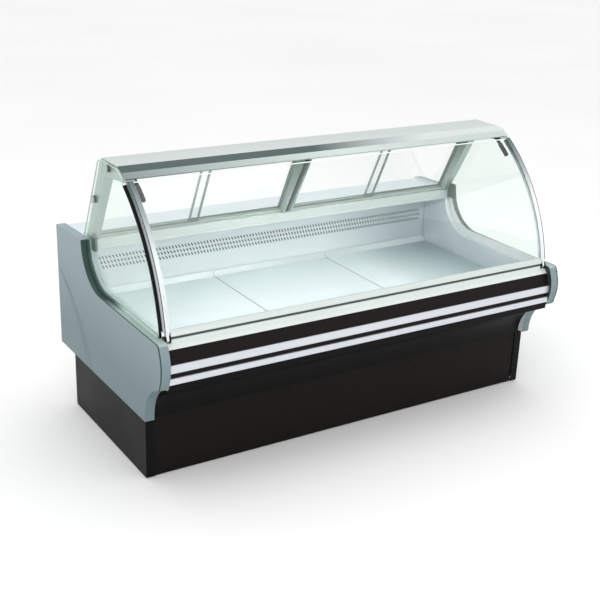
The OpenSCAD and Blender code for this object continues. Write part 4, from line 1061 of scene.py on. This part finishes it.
def door(i):
    """A pane in slim upright profiles and a bottom runner."""
    frame_node, glass_node = f"door_frame_{i}", f"door_glass_{i}"
    x0, x1 = span(frame_node, "X")
    wide, deep, h, pane_half, runner_top = 8, 5, 4, 2.5, 12
    behind = -7 if i % 2 else 7
    bottom, top = 0.5, TRACK_LEN - 8

    def stile(a, b):
        """Section of an upright: a is its outer side and b the side that holds the pane."""
        inward = 1 if b > a else -1
        slot = b - inward * deep
        return [(a, behind - h), (b, behind - h), (b, behind - pane_half),
                (slot, behind - pane_half), (slot, behind + pane_half), (b, behind + pane_half),
                (b, behind + h), (a, behind + h)]
    b = Build()
    b.door_sweep(stile(x0, x0 + wide), bottom, top)
    b.door_sweep(stile(x1, x1 - wide), bottom, top)
    runner = [on_door(s, behind + n) for s, n in
              ((bottom, -h), (runner_top, -h), (runner_top, -pane_half), (6.5, -pane_half),
               (6.5, pane_half), (runner_top, pane_half), (runner_top, h), (bottom, h))]
    b.prism(runner, x0 + wide, x1 - wide)
    b.piece(frame_node, "stripe_alu", "door_alu", bevel=0.6, body=f"door_{i}")
    b = Build()
    g0, g1 = span(glass_node, "X")
    b.door_sweep([(g0, behind - pane_half), (g1, behind - pane_half),
                  (g1, behind + pane_half), (g0, behind + pane_half)], bottom + 6, top)
    made = b.piece(glass_node, "glass_clear", "glass_clear", "glass_edge", bevel=0.5,
                   body=f"door_{i}")
    lean = Vector((0, math.cos(DOOR_LEAN), math.sin(DOOR_LEAN)))
    paint(made, 1, lambda face: abs(face.normal.dot(lean)) < 0.5)


# ------------------------------------------------------------------ deck and air path

def deck_pan(i):
    """Folded pan with rounded edges and the raised strip along its rear."""
    node = f"deck_pan_{i}"
    x0, x1 = span(node, "X")
    front_y, rear = span(node, "Y")
    b = Build()
    b.tray((x0, front_y, DECK - 6.5), (x1, rear, DECK), 1.5, 1.8)
    b.prism([(rear - 22, DECK), (rear - 3, DECK + 24), (rear - 0.5, DECK + 24),
             (rear - 18, DECK)], x0, x1, 2)
    made = b.piece(node, "stainless", "deck_steel", "pan_edge", "stainless", bevel=0.4,
                   body=f"pan_{i}")
    # The pans' end faces take the darker pan_edge tone, painted shade in the seams between pans.
    paint(made, 1, lambda face: abs(face.normal.x) > 0.3
          and not x0 + 3 < face.center.x / MM < x1 - 3)


def back_air_panel():
    """Rear wall of the well with three staggered rows of slanted slots, and a dark sheet behind
    them that is painted shade in the duct."""
    x0, x1 = span("back_air_panel", "X")
    y, z0, z1 = low("back_air_panel", "Y"), low("back_air_panel", "Z"), high("back_air_panel", "Z")
    pitch, rows = (16, 22), 3
    columns = int((x1 - x0 - 60) // pitch[0])
    first = -(columns + 0.5) * pitch[0] / 2
    tiles = slotted(x0, x1, z0, z1, (first, 628), pitch, columns, rows,
                    capsule(4.6, 3.3, -3.0), True)
    b = Build()
    b.sheet(tiles, lambda x, z, depth: (x, y + depth, z), 1.5)
    # A dark sheet behind the slots: painted shade in the duct.
    b.block((x0 + 20, y + 3, 622), (x1 - 20, y + 7, 700), 1)
    b.piece("back_air_panel", "stainless", "air_steel", "black_plastic")


def return_grille():
    """Slotted slope that draws the air back under the front of the deck."""
    x0, x1 = span("return_grille", "X")
    a, c = (-227, 518), (-438, 604)
    length = math.dist(a, c)
    uy, uz = (c[0] - a[0]) / length, (c[1] - a[1]) / length
    pitch, rows = (46, 12), 14
    columns = int((x1 - x0 - 40) // pitch[0])
    first = -columns * pitch[0] / 2
    slot = [(v, u) for u, v in reversed(capsule(15, 2.5))]
    tiles = slotted(x0, x1, 0, length, (first, (length - rows * pitch[1]) / 2), pitch,
                    columns, rows, slot)
    b = Build()
    b.sheet(tiles, lambda x, up, depth: (x, a[0] + up * uy - depth * uz, a[1] + up * uz
                                         + depth * uy), 1.5)
    b.prism([(a[0], a[1] - 20), (a[0] + 1.5, a[1] - 20), (a[0] + 1.5, a[1] + 0.6),
             (a[0], a[1])], x0, x1)
    b.piece("return_grille", "stainless")


# ------------------------------------------------------------------ controls

ROCKER_Y, ROCKER_Z, ROCKER_R = 509, 685, 11
CONTROL_FACE = high("control_panel", "Y")


def control_panel():
    """Housing with a sunk display, four keys and the openings for the rockers."""
    x0, x1 = span("control_panel", "X")
    y0, z0, z1 = low("control_panel", "Y"), low("control_panel", "Z"), high("control_panel", "Z")
    b = Build()
    b.block((x0, y0, z0), (x1, CONTROL_FACE, z1))
    rim = [e for e in b.bm.edges if any(v.co.y > (CONTROL_FACE - 1) * MM for v in e.verts)]
    bmesh.ops.bevel(b.bm, geom=rim, offset=3 * MM, segments=4, profile=0.5, affect="EDGES",
                    clamp_overlap=True)
    blade = Build()
    for node in ("rocker_main", "rocker_lamp"):
        mid = (low(node, "X") + high(node, "X")) / 2
        blade.turned((mid, ROCKER_Y, ROCKER_Z), "X",
                     [(-9, ROCKER_R + 0.4), (9, ROCKER_R + 0.4)], 0, 48)
    blade.block((700, CONTROL_FACE - 2, 668), (780, CONTROL_FACE + 1, 704))
    b.cut(blade)
    b.block((701, CONTROL_FACE - 3, 669), (779, CONTROL_FACE - 1, 703), 1)
    for i in range(4):
        b.turned((708 + i * 21, CONTROL_FACE - 1, 654), "Y", rounded(0, 1.8, 6, 0.8), 2, 28)
    b.piece("control_panel", "black_plastic", "black_plastic", "display", "rotor_grey", bevel=0.4)


def rocker(node, body, slot):
    """Rocker key with a shallow valley across its face."""
    x0, x1 = span(node, "X")
    face = CONTROL_FACE + 1
    crown = math.degrees(math.acos((face + 0.2 - ROCKER_Y) / ROCKER_R))
    back = arc((ROCKER_Y, ROCKER_Z), ROCKER_R, crown, 360 - crown, 40)
    valley = [(face + 0.2 - 2.1 * (1 - (z / 6) ** 2), ROCKER_Z + z)
              for z in steps(-6, 6, 14)[1:-1]]
    b = Build()
    b.prism(back + valley, x0, x1)
    b.piece(node, slot, bevel=0.5, body=body)


# ------------------------------------------------------------------ studio

def studio():
    """A pale floor, a soft sky and three soft lamps."""
    bpy.ops.mesh.primitive_grid_add(size=60, x_subdivisions=8, y_subdivisions=8)
    floor = bpy.context.object
    floor.name = "floor"
    f = Finish("studio_floor")
    cloud = f.noise((0.4, 0.4, 0.4), 2.0)
    colour = f.blend(f.between(cloud, 0.3, 0.7), (0.9, 0.9, 0.9, 1), (0.93, 0.93, 0.93, 1))
    shader = f.add("BsdfPrincipled", {"Base Color": colour, "Roughness": 0.9,
                                      "Specular IOR Level": 0.1})
    floor.data.materials.append(f.close(shader.outputs[0]))

    world = bpy.data.worlds.new("studio")
    bpy.context.scene.world = world
    world.use_nodes = True
    backdrop = world.node_tree.nodes["Background"]
    backdrop.inputs["Color"].default_value = (1.0, 1.0, 1.0, 1)
    backdrop.inputs["Strength"].default_value = 1.02

    aim = Vector((0, 0, 0.7))
    for name, place, size, power in (("key", (-3.0, -3.6, 4.2), 3.0, 46),
                                     ("fill", (4.2, -2.4, 2.6), 2.6, 20),
                                     ("top", (0.0, 0.8, 4.6), 4.0, 30)):
        lamp_data = bpy.data.lights.new(name, "AREA")
        lamp_data.size, lamp_data.energy = size, power
        made = bpy.data.objects.new(name, lamp_data)
        bpy.context.scene.collection.objects.link(made)
        made.location = place
        made.rotation_mode = "QUATERNION"
        made.rotation_quaternion = (aim - made.location).to_track_quat("-Z", "Y")
    bpy.context.scene.view_settings.view_transform = "Standard"


def camera():
    """The camera stands at the front left corner, above the case, and looks down at it."""
    yaw, pitch, roll = (math.radians(d) for d in (32.726, -21.093, 2.145))
    ahead = Vector((math.sin(yaw) * math.cos(pitch), math.cos(yaw) * math.cos(pitch),
                    math.sin(pitch)))
    level = Vector((math.cos(yaw), -math.sin(yaw), 0))
    upright = level.cross(ahead)
    right = level * math.cos(roll) + upright * math.sin(roll)
    up = upright * math.cos(roll) - level * math.sin(roll)
    lens = bpy.data.cameras.new("camera")
    lens.lens, lens.sensor_width = 64.72, 36
    made = bpy.data.objects.new("camera", lens)
    bpy.context.scene.collection.objects.link(made)
    turn = Matrix((right, up, -ahead)).transposed().to_4x4()
    made.matrix_world = Matrix.Translation((-2.516, -3.812, 2.232)) @ turn
    bpy.context.scene.camera = made


levelling_feet()
plinth()
rear_grille()
back_panel()
front()
for panel_side, panel_node in ((1, "end_panel_right"), (-1, "end_panel_left")):
    end_panel(panel_side, panel_node)
worktop()
rear_sill()
posts()
canopy()
lamp()
for glass_side, glass_node in ((1, "side_glass_right"), (-1, "side_glass_left")):
    side_glass(glass_side, glass_node)
side_channels()
glass_seals()
front_glass_unit()
hinges_and_catches()
for number in (1, 2, 3, 4):
    door(number)
for number in (1, 2, 3):
    deck_pan(number)
back_air_panel()
return_grille()
control_panel()
rocker("rocker_main", "switch_main", "switch_green")
rocker("rocker_lamp", "switch_lamp", "black_plastic")
studio()
camera()
